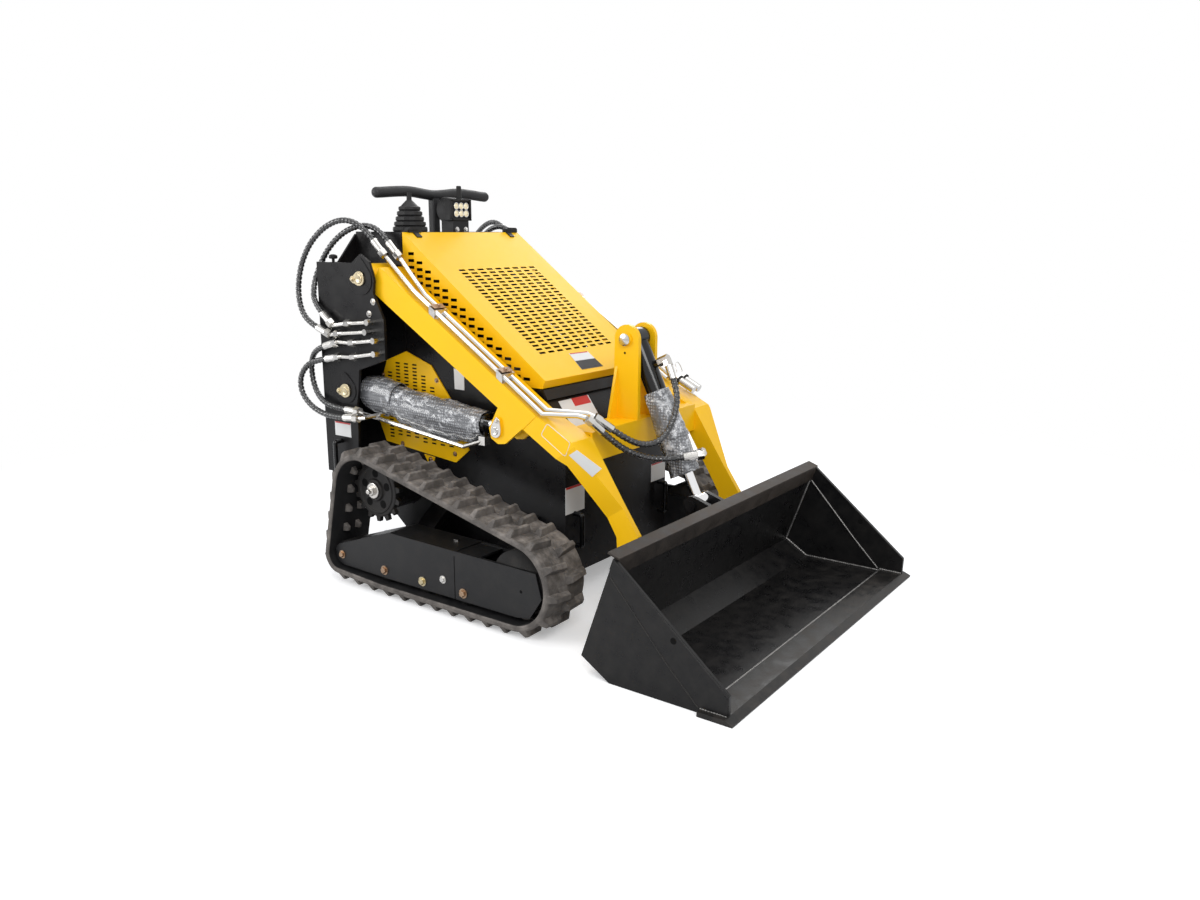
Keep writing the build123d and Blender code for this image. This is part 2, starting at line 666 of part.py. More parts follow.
# ---------- lift cylinders ----------
LIFT_LENGTH = hypot(LIFT_FRONT[0] - LIFT_REAR[0], LIFT_FRONT[1] - LIFT_REAR[1])
BARREL_R = 33
BORE_R = 26
ROD_R = 18
LIFT_BARREL = 600          # from the rear pin to the barrel's front end
LIFT_PISTON = 78           # rest place of the piston's back, from the rear pin
LIFT_EYE = 37              # half width of the rod's eye


def across(start, end, y, distance, radius, length, mode=Mode.ADD):
    """A round length of a cylinder, measured along the line from start to end."""
    with BuildSketch(bar_plane(start, end, y, distance)) as section:
        Circle(radius)
    extrude(section.sketch, amount=length, mode=mode)


with BuildPart() as lift_barrel:
    disc(LIFT_REAR, 34, -CYL_Y - 30, -CYL_Y + 30)
    across(LIFT_REAR, LIFT_FRONT, -CYL_Y, 20, BARREL_R, LIFT_BARREL - 20)
    for x, low, high in ((-640, 590, 603), (-195, 545, 566)):
        round_bar((x, -CYL_Y, low), (x, -CYL_Y, high), 13, 8)
    across(LIFT_REAR, LIFT_FRONT, -CYL_Y, 72, BORE_R, LIFT_BARREL - 72 - 40, Mode.SUBTRACT)
    across(LIFT_REAR, LIFT_FRONT, -CYL_Y, LIFT_BARREL - 41, ROD_R + RUN, 60, Mode.SUBTRACT)
    disc(LIFT_REAR, PIN_R + PIN_FIT, -CYL_Y - 40, -CYL_Y + 40, Mode.SUBTRACT)
save_pair("lift_barrel", lift_barrel.part)

with BuildPart() as lift_rod:
    across(LIFT_REAR, LIFT_FRONT, -CYL_Y, LIFT_PISTON, ROD_R, LIFT_LENGTH - LIFT_PISTON - 8)
    across(LIFT_REAR, LIFT_FRONT, -CYL_Y, LIFT_PISTON, BORE_R - RUN, 34)
    disc(LIFT_FRONT, 32, -CYL_Y - LIFT_EYE, -CYL_Y + LIFT_EYE)
save_pair("lift_rod", lift_rod.part)

# ---------- tilt cylinder ----------
TILT_LENGTH = hypot(TILT_LOW[0] - TILT_TOP[0], TILT_LOW[1] - TILT_TOP[1])
TILT_ROD_R = 17
TILT_BARREL = 440
TILT_PISTON = 94
TILT_EYE = 30
with BuildPart() as tilt_barrel:
    disc(TILT_TOP, 34, -30, 30)
    across(TILT_TOP, TILT_LOW, 0, 20, BARREL_R, TILT_BARREL - 20)
    for distance in (105, 424):
        x, z = along(TILT_TOP, TILT_LOW, distance)
        away = unit(TILT_TOP, TILT_LOW)
        round_bar(
            (x - 29 * away[1], 0, z + 29 * away[0]), (x - 48 * away[1], 0, z + 48 * away[0]), 12, 8,
        )
    across(TILT_TOP, TILT_LOW, 0, 36, BORE_R, TILT_BARREL - 36 - 32, Mode.SUBTRACT)
    across(TILT_TOP, TILT_LOW, 0, TILT_BARREL - 33, TILT_ROD_R + RUN, 60, Mode.SUBTRACT)
    disc(TILT_TOP, PIN_R + PIN_FIT, -40, 40, Mode.SUBTRACT)
save("tilt_barrel", tilt_barrel.part)

with BuildPart() as tilt_rod:
    across(TILT_TOP, TILT_LOW, 0, TILT_PISTON, TILT_ROD_R, TILT_LENGTH - TILT_PISTON - 8)
    across(TILT_TOP, TILT_LOW, 0, TILT_PISTON, BORE_R - RUN, 18)
    disc(TILT_LOW, 28, -TILT_EYE, TILT_EYE)
save("tilt_rod", tilt_rod.part)

# ---------- bucket ----------
back = unit(BUCKET_BACK_LOW, BUCKET_BACK_TOP)
back_out = (-back[1], back[0])
floor_line = [(EDGE_REAR, 0), BUCKET_HEEL, BUCKET_BACK_LOW, BUCKET_BACK_TOP]
inner_line = [
    (BUCKET_BACK_TOP[0] + BUCKET_T * back[1], BUCKET_BACK_TOP[1] - BUCKET_T * back[0]),
    (BUCKET_BACK_LOW[0] + 11, BUCKET_BACK_LOW[1] + 3), (BUCKET_HEEL[0] + 3, BUCKET_T), (EDGE_REAR, BUCKET_T),
]
with BuildPart() as bucket:
    slab(floor_line + inner_line, -BUCKET_HALF, BUCKET_HALF)
    for sign in (-1, 1):
        slab(
            [BUCKET_BACK_TOP, BUCKET_MOUTH_TOP, (BUCKET_MOUTH_TOP[0] - 1, EDGE_T), (EDGE_REAR, EDGE_T),
             (EDGE_REAR, 0), BUCKET_HEEL, BUCKET_BACK_LOW],
            sign * BUCKET_HALF, sign * (BUCKET_HALF - 10),
        )
save("bucket", bucket.part)

with BuildPart() as cutting_edge:
    slab(
        [(EDGE_REAR, 0), (EDGE_TIP, 0), (EDGE_TIP, 4), (EDGE_TIP - 24, EDGE_T), (EDGE_REAR, EDGE_T)],
        -EDGE_HALF, EDGE_HALF,
    )
save("cutting_edge", cutting_edge.part)


def behind(distance, t):
    """A point on the bucket's back at this distance up from its low corner and t behind it."""
    return (
        BUCKET_BACK_LOW[0] + back[0] * distance + back_out[0] * t,
        BUCKET_BACK_LOW[1] + back[1] * distance + back_out[1] * t,
    )


QA_T = 11                  # thickness of the quick-attach plate
with BuildPart() as quick_attach:
    slab([behind(20, 0), behind(300, 0), behind(300, QA_T), behind(20, QA_T)], -370, 370)
    for sign in (-1, 1):
        for y_near in (ARM_IN - 6 - 16, LEG_OUT + 6):
            with BuildSketch(at_y(sign * y_near)) as hook:
                with Locations(BUCKET_PIVOT):
                    Circle(24)
                with BuildLine():
                    Polyline(behind(30, 2), behind(170, 2), behind(170, 4), behind(30, 4), close=True)
                make_face()
                make_hull()
            extrude(hook.sketch, amount=-sign * 16)
        with BuildSketch(at_y(sign * (TILT_EYE + 1))) as lug:
            with Locations(TILT_LOW):
                Circle(30)
            with BuildLine():
                Polyline(behind(150, 2), behind(298, 2), behind(298, 4), behind(150, 4), close=True)
            make_face()
            make_hull()
        extrude(lug.sketch, amount=-sign * 18)
        disc(TILT_LOW, 17, sign * (TILT_EYE + 19), sign * (TILT_EYE + 30))
        disc(BUCKET_PIVOT, BUCKET_PIN_R, sign * (ARM_IN - 22), sign * (LEG_OUT + 26))
save("quick_attach", quick_attach.part)

# ---------- pipes, fittings and hoses ----------
ALONG = unit(ARM_TOP_REAR, ARM_TOP_FRONT)


def above_arm(x, height):
    """Height of a point this far above the arm's straight top edge, at this x."""
    level = ARM_TOP_REAR[1] + (x - ARM_TOP_REAR[0]) * ALONG[1] / ALONG[0]
    return level + height / ALONG[0]


def beside(points):
    """Points on the machine's right, given as (x, distance out from the tub's side, z)."""
    return [(x, -BODY_HALF - out, z) for x, out, z in points]


# hoses from the arm's pipes over the top to the wing plate
arm_hose_outer = beside([
    (-679, 58, 1155), (-725, 64, 1204), (-800, 82, 1228), (-880, 100, 1200), (-948, 114, 1140),
    (-986, 126, 1064), (-995, 136, 986), (-976, 145, 922), (-932, 151, 876), (-876, 152, 858),
])
arm_hose_inner = beside([
    (-633, 34, 1150), (-672, 38, 1192), (-735, 48, 1208), (-810, 62, 1190), (-875, 82, 1138),
    (-912, 102, 1068), (-924, 124, 1000), (-900, 145, 942), (-848, 151, 908),
])
# hoses from the wing plate down and back to the lift cylinder
lift_hose_upper = beside([
    (-846, 151, 796), (-894, 152, 782), (-936, 142, 742), (-950, 134, 686), (-930, 138, 634),
    (-876, 151, 598), (-812, 151, 584), (-752, 151, 583),
])
lift_hose_lower = beside([
    (-842, 151, 752), (-892, 155, 743), (-940, 164, 722), (-968, 172, 676), (-960, 174, 622),
    (-914, 174, 582), (-852, 174, 561), (-790, 172, 556), (-740, 170, 559),
])
# hoses from the right arm's pipes to the tilt cylinder's upper and lower port
tilt_hose_upper = [
    (247, -268, 607), (280, -230, 570), (303, -165, 546), (325, -110, 556), (338, -72, 602),
    (337, -42, 655), (322, -20, 700), (302, -12, 735),
]
tilt_hose_lower = [
    (232, -300, 603), (252, -265, 567), (276, -215, 530), (303, -150, 502), (340, -92, 494), (372, -56, 498),
]
with BuildPart() as arm_hoses:
    hose(arm_hose_outer)
    hose(arm_hose_inner)
save_pair("arm_hoses", arm_hoses.part)
with BuildPart() as lift_hoses:
    hose(lift_hose_upper)
    hose(lift_hose_lower)
save_pair("lift_hoses", lift_hoses.part)
with BuildPart() as tilt_hoses:
    hose(tilt_hose_upper)
    hose(tilt_hose_lower)
save("tilt_hoses", tilt_hoses.part)


def rear_ends():
    """Both pipes of an arm, from the hoses at the rear to the bend at the front, with two clamps."""
    outer = crimp(arm_hose_outer[0], arm_hose_outer[1])
    inner = crimp(arm_hose_inner[0], arm_hose_inner[1])
    for x in (-366, -84):
        slab(
            [(x - 12, above_arm(x - 12, 0)), (x + 12, above_arm(x + 12, 0)),
             (x + 12, above_arm(x + 12, 24)), (x - 12, above_arm(x - 12, 24))],
            2 - ARM_OUT, 62 - ARM_OUT,
        )
    return outer, inner


PIPE_OUT = ARM_OUT - 14     # outer pipe's distance from the machine's middle
with BuildPart() as arm_pipes_right:
    outer_end, inner_end = rear_ends()
    outer_tip = crimp(tilt_hose_lower[0], tilt_hose_lower[1])
    inner_tip = crimp(tilt_hose_upper[0], tilt_hose_upper[1])
    pipe([
        outer_end, (-455, -PIPE_OUT, above_arm(-455, 16)), (76, -PIPE_OUT, above_arm(76, 12)),
        (178, -PIPE_OUT + 44, 652), outer_tip,
    ])
    pipe([
        inner_end, (-440, -CYL_Y, above_arm(-440, 12)), (66, -CYL_Y, above_arm(66, 12)),
        (190, -CYL_Y + 38, 656), inner_tip,
    ])
save("arm_pipes_right", arm_pipes_right.part)

# the left arm's pipes end in two quick couplings for a powered attachment
with BuildPart() as left_pipes:
    outer_end, inner_end = rear_ends()
    for y, start, bend in ((-PIPE_OUT, outer_end, -455), (-CYL_Y, inner_end, -440)):
        nose = (84, y, above_arm(60, 26))
        tip = (nose[0] + 82, y, nose[2] - 40)
        middle = (nose[0] + 20, y, nose[2] - 40 * 20 / 82)
        pipe([start, (bend, y, above_arm(bend, 16)), (52, y, above_arm(52, 14)), nose])
        round_bar(nose, middle, 17, 6)
        round_bar(middle, tip, 14, 16)
with BuildPart() as arm_pipes_left:
    mirror(left_pipes.part, about=Plane.XZ)
save("arm_pipes_left", arm_pipes_left.part)

# connectors on the wing plate, as (hose, x and z of the nut, x and z where it goes through the plate)
CONNECTORS = [
    (arm_hose_inner[::-1], -733, 880, -616, 891), (arm_hose_outer[::-1], -788, 842, -628, 858),
    (lift_hose_upper, -714, 816, -590, 832), (lift_hose_lower, -710, 768, -590, 788),
]
CONNECTOR_Y = -WING_OUT - 20
with BuildPart() as connectors:
    for points, nut_x, nut_z, x, z in CONNECTORS:
        end = crimp(points[0], points[1])
        pipe([end, (nut_x, CONNECTOR_Y, nut_z), (x, CONNECTOR_Y, z)], 7)
        slope = unit((nut_x, nut_z), (x, z))
        nut_end = (nut_x + 26 * slope[0], CONNECTOR_Y, nut_z + 26 * slope[1])
        round_bar((nut_x, CONNECTOR_Y, nut_z), nut_end, 14, 6)
        round_bar((x, CONNECTOR_Y - 12, z), (x, -WING_OUT, z), 11, 8)
save_pair("connectors", connectors.part)

with BuildPart() as lift_pipes:
    near = crimp(lift_hose_lower[-1], lift_hose_lower[-2])
    far = crimp(lift_hose_upper[-1], lift_hose_upper[-2])
    pipe([near, (-648, -CYL_Y - 101, 566), (-640, -CYL_Y - 8, 573)], 7)
    pipe([
        far, (-672, -CYL_Y - 88, 578), (-664, -CYL_Y - 32, 554), (-262, -CYL_Y - 28, 506),
        (-204, -CYL_Y - 8, 527),
    ], 7)
    for x, low, high in ((-640, 560, 590), (-195, 516, 545)):
        with Locations((x, -CYL_Y, (low + high) / 2)):
            Box(26, 26, high - low)
save_pair("lift_pipes", lift_pipes.part)

with BuildPart() as tilt_fittings:
    for points, distance in ((tilt_hose_upper, 105), (tilt_hose_lower, 424)):
        crimp(points[-1], points[-2])
        x, z = along(TILT_TOP, TILT_LOW, distance)
        away = unit(TILT_TOP, TILT_LOW)
        round_bar(
            (x - 48 * away[1], 0, z + 48 * away[0]), (x - 86 * away[1], 0, z + 86 * away[0]), 15, 6,
        )
save("tilt_fittings", tilt_fittings.part)
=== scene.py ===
import math
import bpy
import bmesh
from mathutils import Matrix, Vector
from mathutils.noise import fractal


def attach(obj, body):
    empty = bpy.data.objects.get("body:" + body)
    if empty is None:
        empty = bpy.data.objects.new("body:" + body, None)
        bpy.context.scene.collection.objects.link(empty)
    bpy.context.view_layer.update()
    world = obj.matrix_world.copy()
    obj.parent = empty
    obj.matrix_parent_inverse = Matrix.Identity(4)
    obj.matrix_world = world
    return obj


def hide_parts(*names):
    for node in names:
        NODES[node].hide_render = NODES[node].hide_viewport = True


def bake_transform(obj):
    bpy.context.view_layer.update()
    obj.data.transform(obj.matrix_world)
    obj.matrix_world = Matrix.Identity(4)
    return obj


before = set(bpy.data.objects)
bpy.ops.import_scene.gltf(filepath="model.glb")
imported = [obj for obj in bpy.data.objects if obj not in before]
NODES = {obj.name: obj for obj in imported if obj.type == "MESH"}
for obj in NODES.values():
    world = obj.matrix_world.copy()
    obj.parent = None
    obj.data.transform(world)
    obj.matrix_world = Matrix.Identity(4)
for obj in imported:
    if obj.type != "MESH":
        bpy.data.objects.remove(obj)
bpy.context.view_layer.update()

# ---------------------------------------------------------------- camera
YAW, PITCH, ROLL = 0.6167871, 0.2251730, 0.0058966
forward = Vector((-math.sin(YAW) * math.cos(PITCH), math.cos(YAW) * math.cos(PITCH), -math.sin(PITCH)))
right = Vector((math.cos(YAW), math.sin(YAW), 0.0))
up = right.cross(forward)
right_r = right * math.cos(ROLL) + up * math.sin(ROLL)
up_r = -right * math.sin(ROLL) + up * math.cos(ROLL)
camera_data = bpy.data.cameras.new("camera")
camera = bpy.data.objects.new("camera", camera_data)
bpy.context.scene.collection.objects.link(camera)
turn = Matrix((right_r, up_r, -forward)).transposed().to_4x4()
camera.matrix_world = Matrix.Translation((1.89097, -2.61700, 1.19754)) @ turn
camera_data.sensor_width = 36.0
camera_data.lens = 29.029
camera_data.shift_x = -0.00524
camera_data.shift_y = 0.00054
camera_data.clip_end = 60
bpy.context.scene.camera = camera
bpy.context.scene.view_settings.view_transform = "Standard"


# ---------------------------------------------------------------- materials
def shade_group(name, inputs):
    """A shader node group with the named inputs (name, kind, default) and colour, roughness and normal outputs."""
    group = bpy.data.node_groups.new(name, "ShaderNodeTree")
    for label, kind, default in inputs:
        socket = group.interface.new_socket(name=label, in_out="INPUT", socket_type=kind)
        socket.default_value = default
    group.interface.new_socket(name="Color", in_out="OUTPUT", socket_type="NodeSocketColor")
    group.interface.new_socket(name="Roughness", in_out="OUTPUT", socket_type="NodeSocketFloat")
    group.interface.new_socket(name="Normal", in_out="OUTPUT", socket_type="NodeSocketVector")
    return group


def add(tree, kind, place=(0, 0), **values):
    node = tree.nodes.new(kind)
    node.location = place
    for key, value in values.items():
        setattr(node, key, value)
    return node


def noise(tree, source, scale, detail=3.0, rough=0.5):
    node = add(tree, "ShaderNodeTexNoise")
    node.inputs["Scale"].default_value = scale
    node.inputs["Detail"].default_value = detail
    node.inputs["Roughness"].default_value = rough
    tree.links.new(source, node.inputs["Vector"])
    return node.outputs[0]


def spread(tree, value, low, high, to_low, to_high):
    node = add(tree, "ShaderNodeMapRange")
    node.inputs["From Min"].default_value = low
    node.inputs["From Max"].default_value = high
    node.inputs["To Min"].default_value = to_low
    node.inputs["To Max"].default_value = to_high
    tree.links.new(value, node.inputs["Value"])
    return node.outputs[0]


def mix(tree, factor, a, b):
    node = add(tree, "ShaderNodeMix", data_type="RGBA")
    if isinstance(factor, float):
        node.inputs[0].default_value = factor
    else:
        tree.links.new(factor, node.inputs[0])
    for index, value in ((6, a), (7, b)):
        if isinstance(value, tuple):
            node.inputs[index].default_value = value
        else:
            tree.links.new(value, node.inputs[index])
    return node.outputs[2]


def surface_group():
    """Painted or bare surface: broad colour drift, fine grain, dust in mottled patches, heavier on upward faces.
    """
    inputs = [
        ("Base", "NodeSocketColor", (0.5, 0.5, 0.5, 1)), ("Second", "NodeSocketColor", (0.4, 0.4, 0.4, 1)),
        ("Dust", "NodeSocketColor", (0.30, 0.26, 0.22, 1)), ("Dust amount", "NodeSocketFloat", 0.0),
        ("Rough low", "NodeSocketFloat", 0.3), ("Rough high", "NodeSocketFloat", 0.4),
        ("Grain scale", "NodeSocketFloat", 300.0), ("Grain height", "NodeSocketFloat", 0.05),
    ]
    group = shade_group("surface", inputs)
    enter = add(group, "NodeGroupInput")
    leave = add(group, "NodeGroupOutput")
    place = add(group, "ShaderNodeTexCoord").outputs["Object"]
    broad = noise(group, place, 2.6, 4.0)
    mottle = noise(group, place, 23.0, 5.0, 0.62)
    base = mix(
        group, spread(group, broad, 0.35, 0.68, 0.0, 1.0),
        enter.outputs["Base"], enter.outputs["Second"],
    )
    facing = add(group, "ShaderNodeSeparateXYZ")
    group.links.new(add(group, "ShaderNodeNewGeometry").outputs["Normal"], facing.inputs[0])
    settled = add(group, "ShaderNodeMath", operation="MULTIPLY")
    group.links.new(spread(group, mottle, 0.42, 0.72, 0.0, 1.0), settled.inputs[0])
    group.links.new(spread(group, facing.outputs[2], -0.4, 0.9, 0.35, 1.0), settled.inputs[1])
    amount = add(group, "ShaderNodeMath", operation="MULTIPLY")
    group.links.new(settled.outputs[0], amount.inputs[0])
    group.links.new(enter.outputs["Dust amount"], amount.inputs[1])
    colour = mix(group, amount.outputs[0], base, enter.outputs["Dust"])
    group.links.new(colour, leave.inputs["Color"])
    rough = add(group, "ShaderNodeMapRange")
    rough.inputs["From Min"].default_value = 0.35
    rough.inputs["From Max"].default_value = 0.7
    group.links.new(mottle, rough.inputs["Value"])
    group.links.new(enter.outputs["Rough low"], rough.inputs["To Min"])
    group.links.new(enter.outputs["Rough high"], rough.inputs["To Max"])
    group.links.new(rough.outputs[0], leave.inputs["Roughness"])
    grain = add(group, "ShaderNodeTexNoise")
    grain.inputs["Detail"].default_value = 2.0
    group.links.new(place, grain.inputs["Vector"])
    group.links.new(enter.outputs["Grain scale"], grain.inputs["Scale"])
    bump = add(group, "ShaderNodeBump")
    bump.inputs["Distance"].default_value = 0.002
    group.links.new(enter.outputs["Grain height"], bump.inputs["Strength"])
    group.links.new(grain.outputs[0], bump.inputs["Height"])
    group.links.new(bump.outputs[0], leave.inputs["Normal"])
    return group


SURFACE = surface_group()


def material(name, base, second=None, dust=None, dust_amount=0.0, rough=(0.3, 0.42), grain=(300.0, 0.05),
             metallic=0.0, coat=0.0, coat_rough=0.1, specular=0.5, **sockets):
    made = bpy.data.materials.new(name)
    made.use_nodes = True
    tree = made.node_tree
    shader = tree.nodes["Principled BSDF"]
    group = add(tree, "ShaderNodeGroup", (-320, 0))
    group.node_tree = SURFACE
    group.inputs["Base"].default_value = (*base, 1)
    group.inputs["Second"].default_value = (*(second or base), 1)
    if dust:
        group.inputs["Dust"].default_value = (*dust, 1)
    group.inputs["Dust amount"].default_value = dust_amount
    group.inputs["Rough low"].default_value, group.inputs["Rough high"].default_value = rough
    group.inputs["Grain scale"].default_value, group.inputs["Grain height"].default_value = grain
    tree.links.new(group.outputs["Color"], shader.inputs["Base Color"])
    tree.links.new(group.outputs["Roughness"], shader.inputs["Roughness"])
    tree.links.new(group.outputs["Normal"], shader.inputs["Normal"])
    shader.inputs["Metallic"].default_value = metallic
    shader.inputs["Coat Weight"].default_value = coat
    shader.inputs["Coat Roughness"].default_value = coat_rough
    shader.inputs["Specular IOR Level"].default_value = specular
    for label, value in sockets.items():
        shader.inputs[label.replace("_", " ")].default_value = value
    return made


YELLOW = material("yellow_paint", (0.93, 0.535, 0.005), (0.90, 0.505, 0.005), rough=(0.30, 0.40),
                  grain=(420.0, 0.03), coat=0.06, coat_rough=0.12, specular=0.22)
BLACK = material("black_paint", (0.005, 0.005, 0.0055), (0.0075, 0.007, 0.0075), dust=(0.026, 0.023, 0.021),
                 dust_amount=0.25, rough=(0.26, 0.40), grain=(500.0, 0.05), specular=0.2)
GLOSS = material("cylinder_black", (0.004, 0.004, 0.0045),
                 rough=(0.10, 0.16), grain=(300.0, 0.02), specular=0.4)
CONSOLE = material("console_paint", (0.006, 0.006, 0.007),
                   rough=(0.40, 0.50), grain=(700.0, 0.10), specular=0.25)
BUCKET = material("bucket_paint", (0.006, 0.006, 0.0065), (0.010, 0.0095, 0.0095), dust=(0.040, 0.036, 0.032),
                  dust_amount=0.35, rough=(0.26, 0.42), grain=(260.0, 0.07), specular=0.24)
STEEL_LIP = material("worn_lip", (0.034, 0.027, 0.022), (0.018, 0.015, 0.013), dust=(0.10, 0.075, 0.055),
                     dust_amount=0.4, rough=(0.38, 0.6), grain=(160.0, 0.12), metallic=0.3, specular=0.3)
EDGE = material("worn_edge", (0.022, 0.021, 0.020), (0.012, 0.0115, 0.011), dust=(0.08, 0.068, 0.058),
                dust_amount=0.45, rough=(0.30, 0.52), grain=(160.0, 0.1), metallic=0.3, specular=0.3)
WELD = material("weld_bead", (0.30, 0.29, 0.28), (0.16, 0.155, 0.15), rough=(0.25, 0.45), grain=(400.0, 0.2),
                metallic=0.7)
TRACK = material("track_rubber", (0.105, 0.094, 0.086), (0.070, 0.064, 0.059), dust=(0.29, 0.262, 0.238),
                 dust_amount=0.9, rough=(0.62, 0.85), grain=(140.0, 0.35), specular=0.2)
FRAME_GREY = material("track_frame_paint", (0.008, 0.008, 0.009), (0.012, 0.012, 0.0125),
                      dust=(0.045, 0.040, 0.037), dust_amount=0.35, rough=(0.34, 0.50), grain=(220.0, 0.06),
                      specular=0.28)
WHEEL = material("wheel_paint", (0.008, 0.008, 0.0085), (0.014, 0.013, 0.0125), dust=(0.05, 0.044, 0.038),
                 dust_amount=0.4, rough=(0.45, 0.62), grain=(200.0, 0.1), specular=0.25)
CHROME = material("chrome", (0.82, 0.82, 0.83), rough=(0.06, 0.12), grain=(900.0, 0.01), metallic=1.0)
BRIGHT = material("zinc_bright", (0.66, 0.65, 0.63), (0.55, 0.53, 0.50), rough=(0.16, 0.28), grain=(500.0, 0.05),
                  metallic=1.0)
GOLD = material("zinc_yellow", (0.60, 0.52, 0.33), (0.52, 0.44, 0.30), dust=(0.35, 0.30, 0.22), dust_amount=0.3,
                rough=(0.24, 0.38), grain=(400.0, 0.06), metallic=1.0)
RUBBER = material("black_rubber", (0.009, 0.009, 0.0095), (0.014, 0.0135, 0.014), dust=(0.035, 0.032, 0.03),
                  dust_amount=0.25, rough=(0.42, 0.6), grain=(350.0, 0.12), specular=0.25)
GRIP = material("grip_rubber", (0.018, 0.018, 0.019), (0.024, 0.0235, 0.024), rough=(0.42, 0.55),
                grain=(900.0, 0.2), specular=0.3)
HOSE = material("hose_guard", (0.010, 0.010, 0.0105), (0.015, 0.015, 0.0155), rough=(0.12, 0.20),
                grain=(300.0, 0.05), coat=0.75, coat_rough=0.07, specular=0.5)
ENGINE = material("cast_engine", (0.06, 0.06, 0.062), (0.04, 0.04, 0.042), dust=(0.1, 0.09, 0.08), dust_amount=0.4,
                  rough=(0.5, 0.7), grain=(150.0, 0.2), metallic=0.3)
# near-black painted shade, laid where holes, slots and the hood's underside would show only shade
PAINTED_SHADE = material("painted_shade_gap", (0.004, 0.004, 0.004), rough=(0.8, 0.9), grain=(100.0, 0.0), specular=0.1)
LABEL = material("label_white", (0.72, 0.72, 0.71), (0.66, 0.66, 0.65), rough=(0.3, 0.4), grain=(300.0, 0.02))
RED = material("label_red", (0.55, 0.025, 0.02), (0.48, 0.02, 0.02), rough=(0.3, 0.4), grain=(300.0, 0.02))
# the lenses carry a weak painted glow in a warm tint; no lamp is lit in the work light
LENS_PAINTED_GLOW = material("lamp_lens", (0.72, 0.66, 0.48), (0.62, 0.53, 0.34), rough=(0.08, 0.18), grain=(200.0, 0.1),
                metallic=0.4, Emission_Strength=0.22, Emission_Color=(1.0, 0.9, 0.66, 1.0))


def paint(node, made):
    mesh = NODES[node].data
    mesh.materials.clear()
    mesh.materials.append(made)


def smooth(obj, angle):
    """Rounded shading where faces meet at less than this angle."""
    mesh = obj.data
    mesh.polygons.foreach_set("use_smooth", [True] * len(mesh.polygons))
    mesh.set_sharp_from_angle(angle=math.radians(angle))


def soften(node, width, segments=2, limit=35):
    """A small bevel on the edges of a CAD piece, so that they catch the light."""
    made = NODES[node].modifiers.new("edge", "BEVEL")
    made.width = width
    made.segments = segments
    made.limit_method = "ANGLE"
    made.angle_limit = math.radians(limit)
    made.harden_normals = True


FINISH = {
    "chassis_frame": BLACK, "rear_bulkhead": BLACK, "wing_plate_right": BLACK, "wing_plate_left": BLACK,
    "pivot_pins": GOLD, "engine": ENGINE, "console": CONSOLE, "hood_seal": RUBBER,
    "side_cover_right": YELLOW, "side_cover_left": YELLOW, "hood": YELLOW, "handle_bar": GRIP,
    "joystick": RUBBER, "work_light": RUBBER, "tie_downs": BLACK, "track_right": TRACK, "track_left": TRACK,
    "track_frame_right": FRAME_GREY, "track_frame_left": FRAME_GREY, "track_legs_right": BLACK,
    "track_legs_left": BLACK, "track_wheels_right": WHEEL, "track_wheels_left": WHEEL,
    "sprocket_right": WHEEL, "sprocket_left": WHEEL, "drive_motor_right": WHEEL, "drive_motor_left": WHEEL,
    "arm_right": YELLOW, "arm_left": YELLOW, "cross_tube": YELLOW, "tower": YELLOW,
    "lift_barrel_right": GLOSS, "lift_barrel_left": GLOSS, "lift_rod_right": CHROME, "lift_rod_left": CHROME,
    "tilt_barrel": GLOSS, "tilt_rod": CHROME, "bucket": BUCKET, "cutting_edge": EDGE, "quick_attach": BLACK,
    "arm_hoses_right": HOSE, "arm_hoses_left": HOSE, "lift_hoses_right": HOSE, "lift_hoses_left": HOSE,
    "tilt_hoses": HOSE, "arm_pipes_right": BRIGHT, "arm_pipes_left": BRIGHT, "connectors_right": BRIGHT,
    "connectors_left": BRIGHT, "lift_pipes_right": BRIGHT, "lift_pipes_left": BRIGHT, "tilt_fittings": BRIGHT,
}
for node, made in FINISH.items():
    paint(node, made)
    smooth(NODES[node], 50 if made in (BRIGHT, GOLD) else 32)


# ---------------------------------------------------------------- mesh helpers
def new_object(name, bm, made, body, smooth_angle=None):
    mesh = bpy.data.meshes.new(name)
    bm.to_mesh(mesh)
    bm.free()
    for one in (made if isinstance(made, (list, tuple)) else [made]):
        mesh.materials.append(one)
    obj = bpy.data.objects.new(name, mesh)
    bpy.context.scene.collection.objects.link(obj)
    if smooth_angle:
        smooth(obj, smooth_angle)
    if body:
        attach(obj, body)
    return obj


def route_points(points):
    """The smooth centre line of a hose, as points read from its NURBS route."""
    curve = bpy.data.curves.new("route", "CURVE")
    curve.dimensions = "3D"
    spline = curve.splines.new("NURBS")
    spline.points.add(len(points) - 1)
    for place, point in zip(spline.points, points):
        place.co = (point[0] / 1000, point[1] / 1000, point[2] / 1000, 1)
    spline.order_u = 3
    spline.use_endpoint_u = True
    spline.resolution_u = 24
    holder = bpy.data.objects.new("route", curve)
    bpy.context.scene.collection.objects.link(holder)
    mesh = bpy.data.meshes.new_from_object(holder)
    line = [v.co.copy() for v in mesh.vertices]
    bpy.data.objects.remove(holder)
    bpy.data.meshes.remove(mesh)
    bpy.data.curves.remove(curve)
    return line


def even(line, step):
    """The same line with evenly spaced points."""
    total = sum((b - a).length for a, b in zip(line, line[1:]))
    count = max(2, round(total / step))
    wanted = [total * k / count for k in range(count + 1)]
    out, travelled, index = [], 0.0, 0
    for target in wanted:
        while index < len(line) - 2 and travelled + (line[index + 1] - line[index]).length < target:
            travelled += (line[index + 1] - line[index]).length
            index += 1
        run = (line[index + 1] - line[index]).length
        share = 0 if run == 0 else min(1, max(0, (target - travelled) / run))
        out.append(line[index].lerp(line[index + 1], share))
    return out, total


